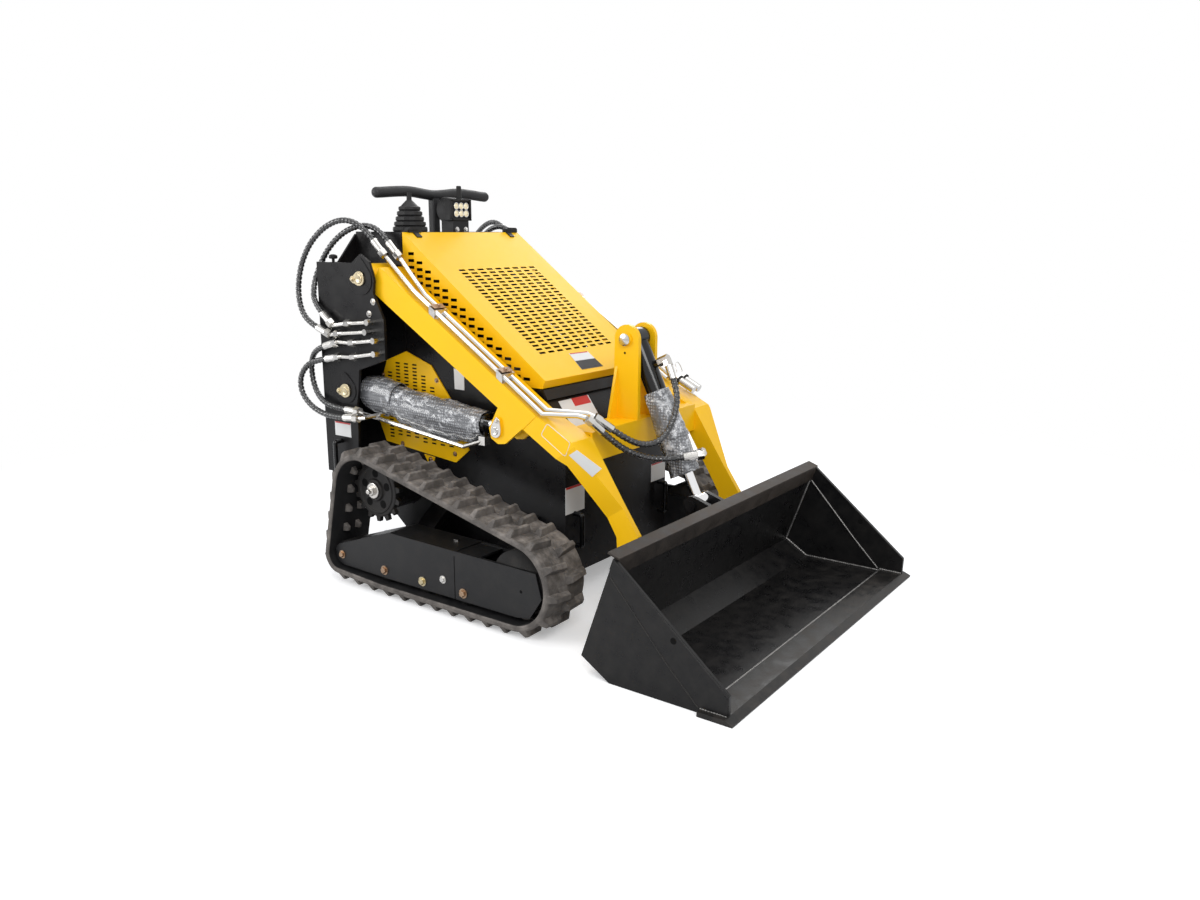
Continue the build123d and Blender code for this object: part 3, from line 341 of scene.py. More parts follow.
def tube(bm, line, radius, sides=14, wrap=0.0, pitch=0.011, caps=True):
    """A tube along these points. wrap is the height of a spiral guard's ridge, one turn per pitch."""
    side = Vector((0, 0, 1)).cross(line[1] - line[0])
    if side.length < 1e-6:
        side = Vector((1, 0, 0))
    side.normalize()
    rings, travelled = [], 0.0
    for index, point in enumerate(line):
        before = line[max(0, index - 1)]
        after = line[min(len(line) - 1, index + 1)]
        way = (after - before).normalized()
        side = (side - way * side.dot(way)).normalized()
        other = way.cross(side)
        if index:
            travelled += (point - line[index - 1]).length
        ring = []
        for k in range(sides):
            angle = 2 * math.pi * k / sides
            size = radius
            if wrap:
                phase = (travelled / pitch + k / sides) % 1.0
                size += wrap if phase < 0.62 else 0.0
            ring.append(bm.verts.new(point + (side * math.cos(angle) + other * math.sin(angle)) * size))
        rings.append(ring)
    for a, b in zip(rings, rings[1:]):
        for k in range(sides):
            bm.faces.new((a[k], a[(k + 1) % sides], b[(k + 1) % sides], b[k]))
    if caps:
        bm.faces.new(list(reversed(rings[0])))
        bm.faces.new(rings[-1])


# ---------------------------------------------------------------- hoses
ARM_OUTER = [
    (-679, -354, 1155), (-725, -360, 1204), (-800, -378, 1228), (-880, -396, 1200), (-948, -410, 1140),
    (-986, -422, 1064), (-995, -432, 986), (-976, -441, 922), (-932, -447, 876), (-876, -448, 858),
]
ARM_INNER = [
    (-633, -330, 1150), (-672, -334, 1192), (-735, -344, 1208), (-810, -358, 1190), (-875, -378, 1138),
    (-912, -398, 1068), (-924, -420, 1000), (-900, -441, 942), (-848, -447, 908),
]
LIFT_UPPER = [
    (-846, -447, 796), (-894, -448, 782), (-936, -438, 742), (-950, -430, 686), (-930, -434, 634),
    (-876, -447, 598), (-812, -447, 584), (-752, -447, 583),
]
LIFT_LOWER = [
    (-842, -447, 752), (-892, -451, 743), (-940, -460, 722), (-968, -468, 676), (-960, -470, 622),
    (-914, -470, 582), (-852, -470, 561), (-790, -468, 556), (-740, -466, 559),
]
TILT_UPPER = [
    (247, -268, 607), (280, -230, 570), (303, -165, 546), (325, -110, 556), (338, -72, 602),
    (337, -42, 655), (322, -20, 700), (302, -12, 735),
]
TILT_LOWER = [
    (232, -300, 603), (252, -265, 567), (276, -215, 530), (303, -150, 502), (340, -92, 494), (372, -56, 498),
]


def mirrored(points):
    return [(x, -y, z) for x, y, z in points]


# name, points, CAD node, body at the start, body at the end, blend start and end (row frame, metres)
ARM_BLEND = ((-0.64, 0, 1.17), (-0.96, 0, 1.02))
HOSES = [
    ("arm_hose_outer_right", ARM_OUTER, "arm_hoses_right", "arms", "chassis", ARM_BLEND),
    ("arm_hose_inner_right", ARM_INNER, "arm_hoses_right", "arms", "chassis", ARM_BLEND),
    ("arm_hose_outer_left", mirrored(ARM_OUTER), "arm_hoses_left", "arms", "chassis", ARM_BLEND),
    ("arm_hose_inner_left", mirrored(ARM_INNER), "arm_hoses_left", "arms", "chassis", ARM_BLEND),
    ("lift_hose_upper_right", LIFT_UPPER, "lift_hoses_right", "chassis", "lift_barrel_right",
     ((-0.93, 0, 0.72), (-0.78, 0, 0.57))),
    ("lift_hose_lower_right", LIFT_LOWER, "lift_hoses_right", "chassis", "lift_barrel_right",
     ((-0.93, 0, 0.72), (-0.78, 0, 0.55))),
    ("lift_hose_upper_left", mirrored(LIFT_UPPER), "lift_hoses_left", "chassis", "lift_barrel_left",
     ((-0.93, 0, 0.72), (-0.78, 0, 0.57))),
    ("lift_hose_lower_left", mirrored(LIFT_LOWER), "lift_hoses_left", "chassis", "lift_barrel_left",
     ((-0.93, 0, 0.72), (-0.78, 0, 0.55))),
    ("tilt_hose_upper", TILT_UPPER, "tilt_hoses", "arms", "tilt_barrel",
     ((0.26, -0.25, 0.6), (0.31, -0.02, 0.72))),
    ("tilt_hose_lower", TILT_LOWER, "tilt_hoses", "arms", "tilt_barrel",
     ((0.25, -0.28, 0.58), (0.36, -0.07, 0.50))),
]
HOSE_RADIUS, GUARD_RIDGE, GUARD_PITCH = 0.0080, 0.0021, 0.0150
for name, points, node, start_body, end_body, span in HOSES:
    fine, length = even(route_points(points), 0.0022)
    bm = bmesh.new()
    tube(bm, fine, HOSE_RADIUS, sides=16, wrap=GUARD_RIDGE, pitch=GUARD_PITCH)
    piece = new_object(name, bm, HOSE, None, 40)
    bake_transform(piece)
    coarse, length = even(route_points(points), 0.012)
    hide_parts(node)


# ---------------------------------------------------------------- modelling helpers for the details
def at(x, y, z):
    """A place given in millimetres."""
    return Vector((x, y, z)) / 1000


def prism(bm, points, rise, slot=0):
    """Solid between a flat outline and its copy moved by rise."""
    low = [bm.verts.new(p) for p in points]
    high = [bm.verts.new(p + rise) for p in points]
    faces = [bm.faces.new(low[::-1]), bm.faces.new(high)]
    for k in range(len(low)):
        after = (k + 1) % len(low)
        faces.append(bm.faces.new((low[k], low[after], high[after], high[k])))
    for face in faces:
        face.material_index = slot


def side_plate(bm, outline, y_from, y_to, slot=0):
    """Plate with this side-view outline, as (x, z) in millimetres, between two y values."""
    prism(bm, [at(x, y_from, z) for x, z in outline], at(0, y_to - y_from, 0), slot)


def rounded(points, radius, steps=4):
    """The same outline with its corners rounded, in the units of its points."""
    out = []
    for index, corner in enumerate(points):
        here = Vector(corner)
        before = Vector(points[index - 1]) - here
        after = Vector(points[(index + 1) % len(points)]) - here
        cut = min(radius, before.length * 0.45, after.length * 0.45)
        start, end = here + before.normalized() * cut, here + after.normalized() * cut
        for k in range(steps + 1):
            t = k / steps
            out.append(tuple(start * (1 - t) ** 2 + here * 2 * t * (1 - t) + end * t ** 2))
    return out


def turned(bm, origin, axis, profile, sides=20, slot=0):
    """Turned piece: profile gives (distance along the axis, radius) in millimetres."""
    axis = axis.normalized()
    side = axis.orthogonal().normalized()
    other = axis.cross(side)
    rings = []
    for distance, radius in profile:
        centre = origin + axis * distance / 1000
        if radius == 0:
            rings.append([bm.verts.new(centre)])
            continue
        angles = [2 * math.pi * k / sides for k in range(sides)]
        rings.append([
            bm.verts.new(centre + (side * math.cos(a) + other * math.sin(a)) * radius / 1000) for a in angles
        ])
    for a, b in zip(rings, rings[1:]):
        for k in range(sides):
            after = (k + 1) % sides
            corners = [a[k % len(a)], a[after % len(a)], b[after % len(b)], b[k % len(b)]]
            corners = list(dict.fromkeys(corners))
            if len(corners) > 2:
                bm.faces.new(corners).material_index = slot


def bolt(bm, place, axis, size, slot=0, washer=True):
    """Hexagon head on a washer, with its chamfered top."""
    if washer:
        turned(bm, place, axis, [(0, size * 1.45), (size * 0.22, size * 1.45), (size * 0.25, 0)], 20, slot)
    base = size * 0.2 if washer else 0
    turned(
        bm, place, axis,
        [(base, size), (base + size * 0.62, size), (base + size * 0.78, size * 0.82), (base + size * 0.78, 0)],
        6, slot,
    )


def weld(bm, line, radius, slot=0):
    """Rippled bead along these points, given in metres."""
    fine, length = even(line, radius * 0.55)
    side = Vector((0, 0, 1)).cross(fine[1] - fine[0])
    if side.length < 1e-7:
        side = Vector((1, 0, 0))
    side.normalize()
    rings = []
    for index, point in enumerate(fine):
        way = (fine[min(index + 1, len(fine) - 1)] - fine[max(index - 1, 0)]).normalized()
        side = (side - way * side.dot(way)).normalized()
        other = way.cross(side)
        size = radius * (0.82 + 0.2 * math.sin(index * 1.9) + 0.08 * math.sin(index * 0.37))
        rings.append([
            bm.verts.new(point + (side * math.cos(k * math.pi / 3) + other * math.sin(k * math.pi / 3)) * size)
            for k in range(6)
        ])
    for a, b in zip(rings, rings[1:]):
        for k in range(6):
            bm.faces.new((a[k], a[(k + 1) % 6], b[(k + 1) % 6], b[k])).material_index = slot


def finish(name, bm, made, body, angle=35, bevel=0.0):
    """Turn this mesh into a piece on its body, with softened edges where a bevel is given."""
    bmesh.ops.recalc_face_normals(bm, faces=bm.faces)
    obj = new_object(name, bm, made, body, angle)
    if bevel:
        edge = obj.modifiers.new("edge", "BEVEL")
        edge.width = bevel
        edge.segments = 2
        edge.limit_method = "ANGLE"
        edge.angle_limit = math.radians(35)
    return obj


def label(name, corners, normal, body, red_top=0.0, red_from=0.03):
    """Blank plate with these corners (upper left first, clockwise, in metres), with or without a red band."""
    bm = bmesh.new()
    a, b, c, d = corners
    rise = normal.normalized() * 0.0008
    prism(bm, [a, b, c, d], rise, 0)
    if red_top:
        top = [a.lerp(b, red_from), a.lerp(b, 0.97)]
        low = [d.lerp(c, 0.97), d.lerp(c, red_from)]
        band = [top[0], top[1], top[1].lerp(low[0], red_top), top[0].lerp(low[1], red_top)]
        prism(bm, [p + rise for p in band], rise * 0.4, 1)
    return finish(name, bm, [LABEL, RED], body)


COPPER = material("zinc_copper", (0.42, 0.29, 0.19), (0.34, 0.23, 0.16), dust=(0.22, 0.18, 0.15), dust_amount=0.4,
                  rough=(0.26, 0.4), grain=(400.0, 0.06), metallic=1.0)
SIDES = (("right", -1), ("left", 1))
Y = Vector((0, 1, 0))


# ---------------------------------------------------------------- chassis details
def wing_details(name, side):
    """Raised ears round the two pins, the bolts of their keepers and the plate's own bolts."""
    face = side * 427
    bm = bmesh.new()
    upper = [(-669, 1110), (-617, 1052), (-612, 1012), (-640, 980), (-694, 976), (-738, 1022)]
    lower = [(-780, 717), (-729, 676), (-716, 638), (-744, 603), (-806, 598), (-834, 626)]
    for outline in (upper, lower):
        side_plate(bm, rounded(outline, 22), face, face + side * 3)
    finish(f"wing_ears_{name}", bm, BLACK, "chassis", bevel=0.0015)
    bm = bmesh.new()
    for x, z in ((-668, 1031), (-768, 644)):
        keeper = [(x - 46, z - 4), (x - 8, z + 27), (x + 20, z + 22), (x + 24, z - 14), (x - 4, z - 26)]
        side_plate(bm, rounded(keeper, 14), face + side * 6, face + side * 9)
        bolt(bm, at(x - 32, face + side * 9, z - 1), Y * side, 7)
        turned(bm, at(x, face + side * 9, z), Y * side, [(0, 15), (2.4, 15), (3.2, 13), (1.2, 6), (1.2, 0)], 24)
    finish(f"pin_keepers_{name}", bm, GOLD, "chassis", bevel=0.0012)
    bm = bmesh.new()
    for x, z in ((-634, 917), (-612, 958)):
        bolt(bm, at(x, face, z), Y * side, 8)
    finish(f"wing_bolts_{name}", bm, BRIGHT, "chassis")


def knob(side):
    """Dark clamp knob on the bulkhead's shoulder."""
    bm = bmesh.new()
    foot = at(-838, side * 398, 1082)
    turned(bm, foot, Vector((0, 0, 1)), [(0, 5), (10, 5), (11, 13), (15, 15), (22, 14), (25, 8), (26, 0)], 18)
    finish("shoulder_knob", bm, RUBBER, "chassis", 50)


def cover_details(name, side):
    """Rows of slots in the yellow side cover as near-black plates of painted shade, its screws, and the tab under
    it.
    """
    face = side * 300
    tops = [702, 738, 738, 738, 702, 666, 630, 570]
    # the slots: near-black plates of painted shade, flush with the cover
    bm = bmesh.new()
    for column, top in enumerate(tops):
        x = -688 + 41.5 * column
        rows = round((top - 478) / 12.1)
        for row in range(rows + 1):
            z = top - 12.1 * row
            side_plate(bm, [(x - 10, z - 2.7), (x + 10, z - 2.7), (x + 10, z + 2.7), (x - 10, z + 2.7)],
                       face - side * 1, face + side * 0.5)
    finish(f"cover_slot_shade_{name}", bm, PAINTED_SHADE, "chassis", 0)
    bm = bmesh.new()
    for x, z in ((-722, 692), (-458, 694), (-637, 452), (-382, 449)):
        bolt(bm, at(x, face, z), Y * side, 6)
    bolt(bm, at(-498, face + side * 1, 412), Y * side, 7)
    finish(f"cover_screws_{name}", bm, COPPER, "chassis")
    bm = bmesh.new()
    tab = [(-531, 428), (-480, 424), (-486, 404), (-499, 392), (-514, 402)]
    side_plate(bm, tab, side * 296, face + side * 1)
    finish(f"cover_tab_{name}", bm, YELLOW, "chassis", bevel=0.001)


def wrap_mesh(start, end, across, profile, seed, ridge=0.0035):
    """Loose bubble-wrap sleeve. profile gives (distance, radius, drop) in millimetres along start to end."""
    bm = bmesh.new()
    way = (end - start).normalized()
    down = across.cross(way).normalized()
    if down.z > 0:
        down = -down
    rings, sides = [], 72
    length = profile[-1][0] - profile[0][0]
    steps = max(8, round(length / 5))
    for index in range(steps + 1):
        distance = profile[0][0] + length * index / steps
        for a, b in zip(profile, profile[1:]):
            if distance <= b[0] + 1e-6:
                break
        t = min(1, max(0, (distance - a[0]) / (b[0] - a[0])))
        t = t * t * (3 - 2 * t)
        radius = a[1] + (b[1] - a[1]) * t
        drop = a[2] + (b[2] - a[2]) * t
        ring = []
        for k in range(sides):
            angle = 2 * math.pi * k / sides
            hang = max(0.0, math.cos(angle))
            size = radius + drop * hang ** 2
            place = Vector((distance * 0.02, math.cos(angle) * 1.1 + seed, math.sin(angle) * 1.1))
            size += 4.2 * noise_value(place) + 2.2 * noise_value(place * 3.1)
            size += ridge * 1000 * (1 if 0 <= (angle - 4.3 - 0.004 * distance) % (2 * math.pi) < 2.0 else 0)
            shift = 3.0 * noise_value(place * 1.7) if index in (0, steps) else 0
            centre = start + way * (distance + shift) / 1000
            ring.append(bm.verts.new(
                centre + (down * math.cos(angle) * size + across * math.sin(angle) * min(size, 48)) / 1000
            ))
        rings.append(ring)
    for a, b in zip(rings, rings[1:]):
        for k in range(sides):
            bm.faces.new((a[k], a[(k + 1) % sides], b[(k + 1) % sides], b[k]))
    return bm


def noise_value(place):
    return fractal(place, 1.0, 2.0, 3)


def wrap_piece(name, bm, body):
    obj = finish(name, bm, WRAP, body, 180)
    wall = obj.modifiers.new("film", "SOLIDIFY")
    wall.thickness = 0.0022
    wall.offset = -1
    return obj


# ---------------------------------------------------------------- bubble wrap
def wrap_material():
    """Clear plastic film with a staggered field of air bubbles, bumped over each bubble and its crumples. Its grey
    colour is painted: lighter at the bubble centres as painted highlights, darker at their edges as painted shade,
    with white streaks as painted glints.
    """
    made = bpy.data.materials.new("bubble_wrap_painted_glints")
    made.use_nodes = True
    tree = made.node_tree
    shader = tree.nodes["Principled BSDF"]
    place = add(tree, "ShaderNodeTexCoord").outputs["Object"]
    cells = add(tree, "ShaderNodeTexVoronoi", feature="F1")
    cells.inputs["Scale"].default_value = 100.0
    cells.inputs["Randomness"].default_value = 0.12
    tree.links.new(place, cells.inputs["Vector"])
    crumple_and_glint = noise(tree, place, 34.0, 3.0, 0.6)
    dome_height_and_highlight = spread(tree, cells.outputs["Distance"], 0.10, 0.52, 1.0, 0.0)
    # painted highlight at each bubble's centre, painted shade at its edge
    painted_bubble_highlight = mix(tree, dome_height_and_highlight, (0.17, 0.175, 0.185, 1), (0.60, 0.61, 0.635, 1))
    # white streaks: painted glints
    painted_glint = spread(tree, crumple_and_glint, 0.54, 0.66, 0.0, 0.8)
    tree.links.new(mix(tree, painted_glint, painted_bubble_highlight, (0.90, 0.91, 0.93, 1)), shader.inputs["Base Color"])
    height = add(tree, "ShaderNodeMath", operation="ADD")
    tree.links.new(dome_height_and_highlight, height.inputs[0])
    tree.links.new(crumple_and_glint, height.inputs[1])
    bump = add(tree, "ShaderNodeBump")
    bump.inputs["Strength"].default_value = 0.75
    bump.inputs["Distance"].default_value = 0.004
    tree.links.new(height.outputs[0], bump.inputs["Height"])
    tree.links.new(bump.outputs[0], shader.inputs["Normal"])
    shader.inputs["Roughness"].default_value = 0.12
    shader.inputs["Coat Weight"].default_value = 0.7
    shader.inputs["Coat Roughness"].default_value = 0.08
    shader.inputs["Transmission Weight"].default_value = 0.22
    return made


WRAP = wrap_material()
LIFT_AXIS = (at(-768, -356, 644), at(-96, -356, 583))
for name, side in SIDES:
    start, end = [Vector((p.x, -p.y * side, p.z)) for p in LIFT_AXIS]
    rear = [(34, 50, 10), (70, 60, 12), (130, 57, 12), (170, 54, 10), (186, 52, 12)]
    front = [(168, 43, 10), (205, 42, 42), (420, 40, 58), (520, 38, 44), (586, 37, 8)]
    wrap_piece(f"wrap_rear_{name}", wrap_mesh(start, end, Y, rear, 3.0 + side), f"lift_barrel_{name}")
    wrap_piece(f"wrap_front_{name}", wrap_mesh(start, end, Y, front, 9.0 + side), f"lift_barrel_{name}")
TILT_AXIS = (at(152, 0, 855), at(402, 0, 342))
upper = [(188, 41, 0), (230, 43, 0), (300, 46, 6), (352, 50, 10)]
lower = [(322, 44, 4), (370, 46, 8), (420, 44, 14), (468, 38, 26)]
wrap_piece("wrap_tilt_upper", wrap_mesh(*TILT_AXIS, Y, upper, 15.0), "tilt_barrel")
wrap_piece("wrap_tilt_lower", wrap_mesh(*TILT_AXIS, Y, lower, 21.0), "tilt_barrel")

def tie_down_loops():
    """Bent bars welded by their ends to the wing plates and to the front wall."""
    bm = bmesh.new()
    for side in (-1, 1):
        for foot, out in (((-808, side * 425, 410), Y * side), ((86, side * 250, 258), Vector((1, 0, 0)))):
            base, reach, rise = at(*foot), out * 0.034, Vector((0, 0, 0.052))
            bend = [base + rise, base + rise + reach * 0.7, base + rise + reach, base + rise * 0.7 + reach]
            low = [base - rise * 0.7 + reach, base - rise + reach, base - rise + reach * 0.7, base - rise]
            line = route_points([tuple(p * 1000) for p in bend + low])
            tube(bm, line, 0.008, 14)
    piece = finish("tie_down_loops", bm, GLOSS, "chassis", 50)
    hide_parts("tie_downs")


for name, side in SIDES:
    wing_details(name, side)
    cover_details(name, side)
knob(-1)
tie_down_loops()


# ---------------------------------------------------------------- blank plates
def on_arm(x, z, side, over=0.0):
    """Point on the arm's outer face, which leans inwards towards the bucket. over is the height above it."""
    past = max(0.0, (x - 175) * 0.557 - (z - 550) * 0.831)
    return at(x, side * (406 + over - 0.359 * past), z)


def side_label(name, corners, y, body, red=0.0):
    """Plate on a side face: corners as (x, z) in millimetres."""
    return label(name, [at(x, y, z) for x, z in corners], Y * (1 if y > 0 else -1), body, red)


side_label("plate_wing", [(-842, 529), (-758, 529), (-758, 479), (-842, 479)], -427, "chassis", 0.1)
side_label("plate_tub_side", [(-380, 742), (-334, 730), (-334, 672), (-378, 672)], -296, "chassis", 0.0)
lean_corners = [on_arm(x, z, -1, 0.6) for x, z in ((215, 563), (284, 511), (248, 480), (185, 543))]
lean_up = (lean_corners[1] - lean_corners[0]).cross(lean_corners[2] - lean_corners[1]).normalized()
label("plate_arm_white", lean_corners, lean_up if lean_up.y < 0 else -lean_up, "arms")
slope = Vector((0.672 - 0.56, 0, 0.089 - 0.008)).normalized()
wall = Vector((0.008 - 0.089, 0, 0.672 - 0.560))
foot = at(89, 0, 560)
corners = [foot + wall * t + at(0, y, 0) for t, y in ((0.92, -236), (0.92, -78), (0.18, -78), (0.18, -236))]
label("plate_wall", corners, slope, "chassis", 0.28, 0.42)
for name, y0, y1, z0, z1 in (("one", -297, -197, 403, 314), ("two", 200, 292, 383, 318)):
    corners = [at(89, y, z) for y, z in ((y0, z0), (y1, z0), (y1, z1), (y0, z1))]
    label(f"plate_front_{name}", corners, Vector((1, 0, 0)), "chassis", 0.08)
corners = [at(-68, -73, 793), at(-65, 26, 791), at(-3, 31, 745), at(-4, -86, 746)]
hood_up = (corners[1] - corners[0]).cross(corners[2] - corners[1]).normalized()
hood_up = hood_up if hood_up.z > 0 else -hood_up
label("plate_hood", corners, hood_up, "hood", 0.06)
bm = bmesh.new()
middle = [corners[0].lerp(corners[3], 0.48), corners[1].lerp(corners[2], 0.48)]
prism(bm, [p + hood_up * 0.0009 for p in (middle[0], middle[1], corners[2], corners[3])], hood_up * 0.0004)
finish("plate_hood_dark", bm, BLACK, "hood")

# ---------------------------------------------------------------- hood details
HOOD_CUT = ((-602, 970), (-260, 709))       # lower edge of the hood's sides at the rear, as (x, z)
SLOPE = Vector((0.8074, 0, -0.5900))


# how much the slots open against those of the CAD hood
SIDE_SLOT_LONGER, SIDE_SLOT_WIDER = 1.22, 1.25
GRILLE_SLOT_GROWTH_ALONG, GRILLE_SLOT_GROWTH_ACROSS = 0.35, 0.13


def slot_middles():
    """Middle of each slot in the hood: sides as (x, z), grille as distances along and across the slope."""
    sides = [
        (-563 + 38.4 * column, 1113 - 22.5 * row - 6.6 * column)
        for row in range(14) for column in range(max(0, row - 5), row + 1)
    ]
    along = [425 + 17.9 * (k - 12) for k in range(25)]
    across = [46 * (k - 4) - 6 for k in range(9)]
    return sides, along, across


def hood_cover():
    """The hood's sheet, with its slots opened to their full width and its sides cut off along the slant; its inner
    faces and slot walls are near-black painted shade, its hinge part black.
    """
    source = NODES["hood"]
    bm = bmesh.new()
    bm.from_mesh(source.data)
    bmesh.ops.remove_doubles(bm, verts=bm.verts, dist=1e-6)
    sides, along, across = slot_middles()
    top = at(-602, 0, 1183)
    for vert in bm.verts:
        place = vert.co * 1000
        if abs(place.y) > 291:
            for x, z in sides:
                if abs(place.x - x) < 13 and abs(place.z - z) < 6:
                    vert.co.x = (x + (place.x - x) * SIDE_SLOT_LONGER) / 1000
                    vert.co.z = (z + (place.z - z) * SIDE_SLOT_WIDER) / 1000
        far = (vert.co - top).dot(SLOPE) * 1000
        step = min(along, key=lambda middle: abs(far - middle))
        row = min(across, key=lambda middle: abs(place.y - middle))
        if abs(abs(far - step) - 3.25) < 0.3 and abs(abs(place.y - row) - 13) < 0.3:
            vert.co += SLOPE * (far - step) * GRILLE_SLOT_GROWTH_ALONG / 1000
            vert.co.y += (place.y - row) * GRILLE_SLOT_GROWTH_ACROSS / 1000
    way = Vector((HOOD_CUT[1][0] - HOOD_CUT[0][0], 0, HOOD_CUT[1][1] - HOOD_CUT[0][1])).normalized()
    normal = Vector((way.z, 0, -way.x))
    bmesh.ops.bisect_plane(
        bm, geom=bm.verts[:] + bm.edges[:] + bm.faces[:], plane_co=at(HOOD_CUT[0][0], 0, HOOD_CUT[0][1]),
        plane_no=normal, clear_outer=True,
    )
    bm.normal_update()
    rise = Vector((-SLOPE.z, 0, SLOPE.x))
    for face in bm.faces:
        middle, way = face.calc_center_median() * 1000, face.normal
        outside = (
            (way.y * middle.y > 0 and abs(way.y) > 0.9 and abs(middle.y) > 295) or way.dot(rise) > 0.9
            or (way.x > 0.7 and middle.x > -4)
        )
        hinge = (middle / 1000 - top).dot(rise) > 0.0005
        # inner faces and slot walls take the near-black painted shade of the dark space under the hood
        face.material_index = 2 if hinge else 0 if outside else 1
        face.smooth = False
    cover = new_object("hood_cover", bm, [YELLOW, PAINTED_SHADE, BLACK], "hood")
    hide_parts("hood")


hood_cover()
bm = bmesh.new()
for side in (-1, 1):
    side_plate(bm, [(-600, 704), (-600, 967), (-262, 706)], side * 290, side * 295.5)
finish("tub_cheeks", bm, BLACK, "chassis")
bm = bmesh.new()
for y in (-240, 262):
    turned(bm, at(-606, y, 1183), Vector((0, 0, 1)), [(0, 31), (13, 30), (17, 24), (18, 0)], 28)
for vert in bm.verts:
    vert.co.x = min(vert.co.x, -0.597)
finish("hood_pads", bm, RUBBER, "chassis", 40)


# ---------------------------------------------------------------- arm details
def arm_details(name, side):
    """Weld seams where the arm's plates meet, the cylinder pin's bare keeper plate, and an edge frame."""
    face = side * 406
    bm = bmesh.new()
    weld(bm, [at(9, face, 600), at(62, face, 646)], 0.0026)
    finish(f"arm_weld_{name}", bm, YELLOW, "arms", 60)
    bm = bmesh.new()
    keeper = [(-112, 566), (-92, 560), (-74, 570), (-72, 592), (-77, 622), (-90, 629), (-97, 618), (-113, 594)]
    side_plate(bm, rounded(keeper, 12), side * 413, side * 416)
    bolt(bm, at(-87, side * 416, 617), Y * side, 6)
    turned(bm, at(-95, side * 416, 583), Y * side, [(0, 13), (2, 13), (3, 11), (1, 5), (1, 0)], 24)
    finish(f"cylinder_keeper_{name}", bm, BRIGHT, "arms", bevel=0.001)
    bm = bmesh.new()
    frame_line = rounded([(106, 630), (193, 582), (173, 537), (82, 592)], 8)
    for a, b in zip(frame_line, frame_line[1:] + frame_line[:1]):
        tube(bm, [on_arm(*a, side, 0.4), on_arm(*b, side, 0.4)], 0.0011, 6)
    finish(f"arm_plate_frame_{name}", bm, LABEL, "arms", 60)


for name, side in SIDES:
    arm_details(name, side)

bm = bmesh.new()
for side in (-1, 1):
    turned(bm, at(149, side * 64, 853), Y * side, [(0, 20), (3, 20), (4.5, 17), (4.5, 0)], 24)
finish("tower_pin_ends", bm, BRIGHT, "arms", 40)
# dark discs of painted shade where the tower's small holes are
bm = bmesh.new()
for side in (-1, 1):
    turned(bm, at(146, side * 56, 810), Y * side, [(-1, 4), (0.4, 4), (0.4, 0)], 14)
finish("tower_hole_shade", bm, PAINTED_SHADE, "arms", 40)


# ---------------------------------------------------------------- tracks
WHEELS = [(97, 166, 124), (-561, 337, 114), (-687, 98, 44), (-476, 85, 43)]
TRACK_MID = 487  # middle of each track, from the middle of the machine
LINKS = 32
LUG_REACH = 88  # from the middle of the track to a lug's outer end


def belt_runs():
    """Straight runs and arcs of the belt's inner face, as in the part's own track."""
    runs, tangents = [], []
    for index, (x, z, r) in enumerate(WHEELS):
        x2, z2, r2 = WHEELS[(index + 1) % len(WHEELS)]
        base = math.atan2(z2 - z, x2 - x)
        span = math.hypot(x2 - x, z2 - z)
        tangents.append(base - math.pi / 2 + math.atan2(r - r2, math.sqrt(span ** 2 - (r - r2) ** 2)))
    for index, normal in enumerate(tangents):
        x, z, r = WHEELS[index]
        x2, z2, r2 = WHEELS[(index + 1) % len(WHEELS)]
        a = (x + r * math.cos(normal), z + r * math.sin(normal))
        b = (x2 + r2 * math.cos(normal), z2 + r2 * math.sin(normal))
        runs.append(("line", a, b, normal, math.hypot(b[0] - a[0], b[1] - a[1])))
        sweep = (tangents[(index + 1) % len(WHEELS)] - normal) % (2 * math.pi)
        runs.append(("arc", (x2, z2, r2), normal, sweep, r2 * sweep))
    return runs


RUNS = belt_runs()
AROUND = sum(run[-1] for run in RUNS)


def on_belt(s, height):
    """Place (x, z) and outward direction at this length along the belt and height over its inner face."""
    s = s % AROUND
    for run in RUNS:
        if s <= run[-1]:
            break
        s -= run[-1]
    if run[0] == "line":
        _, a, b, normal, length = run
        x, z, angle = a[0] + (b[0] - a[0]) * s / length, a[1] + (b[1] - a[1]) * s / length, normal
    else:
        _, wheel, normal, sweep, length = run
        angle = normal + s / wheel[2]
        x, z = wheel[0] + wheel[2] * math.cos(angle), wheel[1] + wheel[2] * math.sin(angle)
    return x + height * math.cos(angle), z + height * math.sin(angle)


def tread(name, side):
    """The rubber track: belt with rounded edges, staggered lugs with sloped ends, and guide lugs inside."""
    bm = bmesh.new()
    section = [(-90, 3), (-86, 0), (86, 0), (90, 3), (90, 15), (85, 20), (-85, 20), (-90, 15)]
    count = 260
    rings = []
    for index in range(count):
        s = AROUND * index / count
        ring = []
        for across, height in section:
            x, z = on_belt(s, height)
            ring.append(bm.verts.new(at(x, side * TRACK_MID + across, z)))
        rings.append(ring)
    for index in range(count):
        a, b = rings[index], rings[(index + 1) % count]
        for k in range(len(section)):
            after = (k + 1) % len(section)
            bm.faces.new((a[k], a[after], b[after], b[k])).material_index = 1 if k == 1 else 0
    pitch = AROUND / LINKS
    for index in range(LINKS):
        for row, phase in ((-1, 0.0), (1, 0.5)):
            block(bm, side, row * side if side < 0 else row, (index + phase) * pitch)
        for row in (-1, 1):
            guide(bm, side, row, (index + 0.25) * pitch)
    obj = finish(f"track_rubber_{name}", bm, [TRACK, RUBBER], "chassis", 40, bevel=0.0022)
    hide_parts(f"track_{name}")


def hexahedron(bm, low, high):
    """Block from four low and four high corners."""
    a = [bm.verts.new(p) for p in low]
    b = [bm.verts.new(p) for p in high]
    bm.faces.new(a[::-1])
    bm.faces.new(b)
    for k in range(4):
        bm.faces.new((a[k], a[(k + 1) % 4], b[(k + 1) % 4], b[k]))


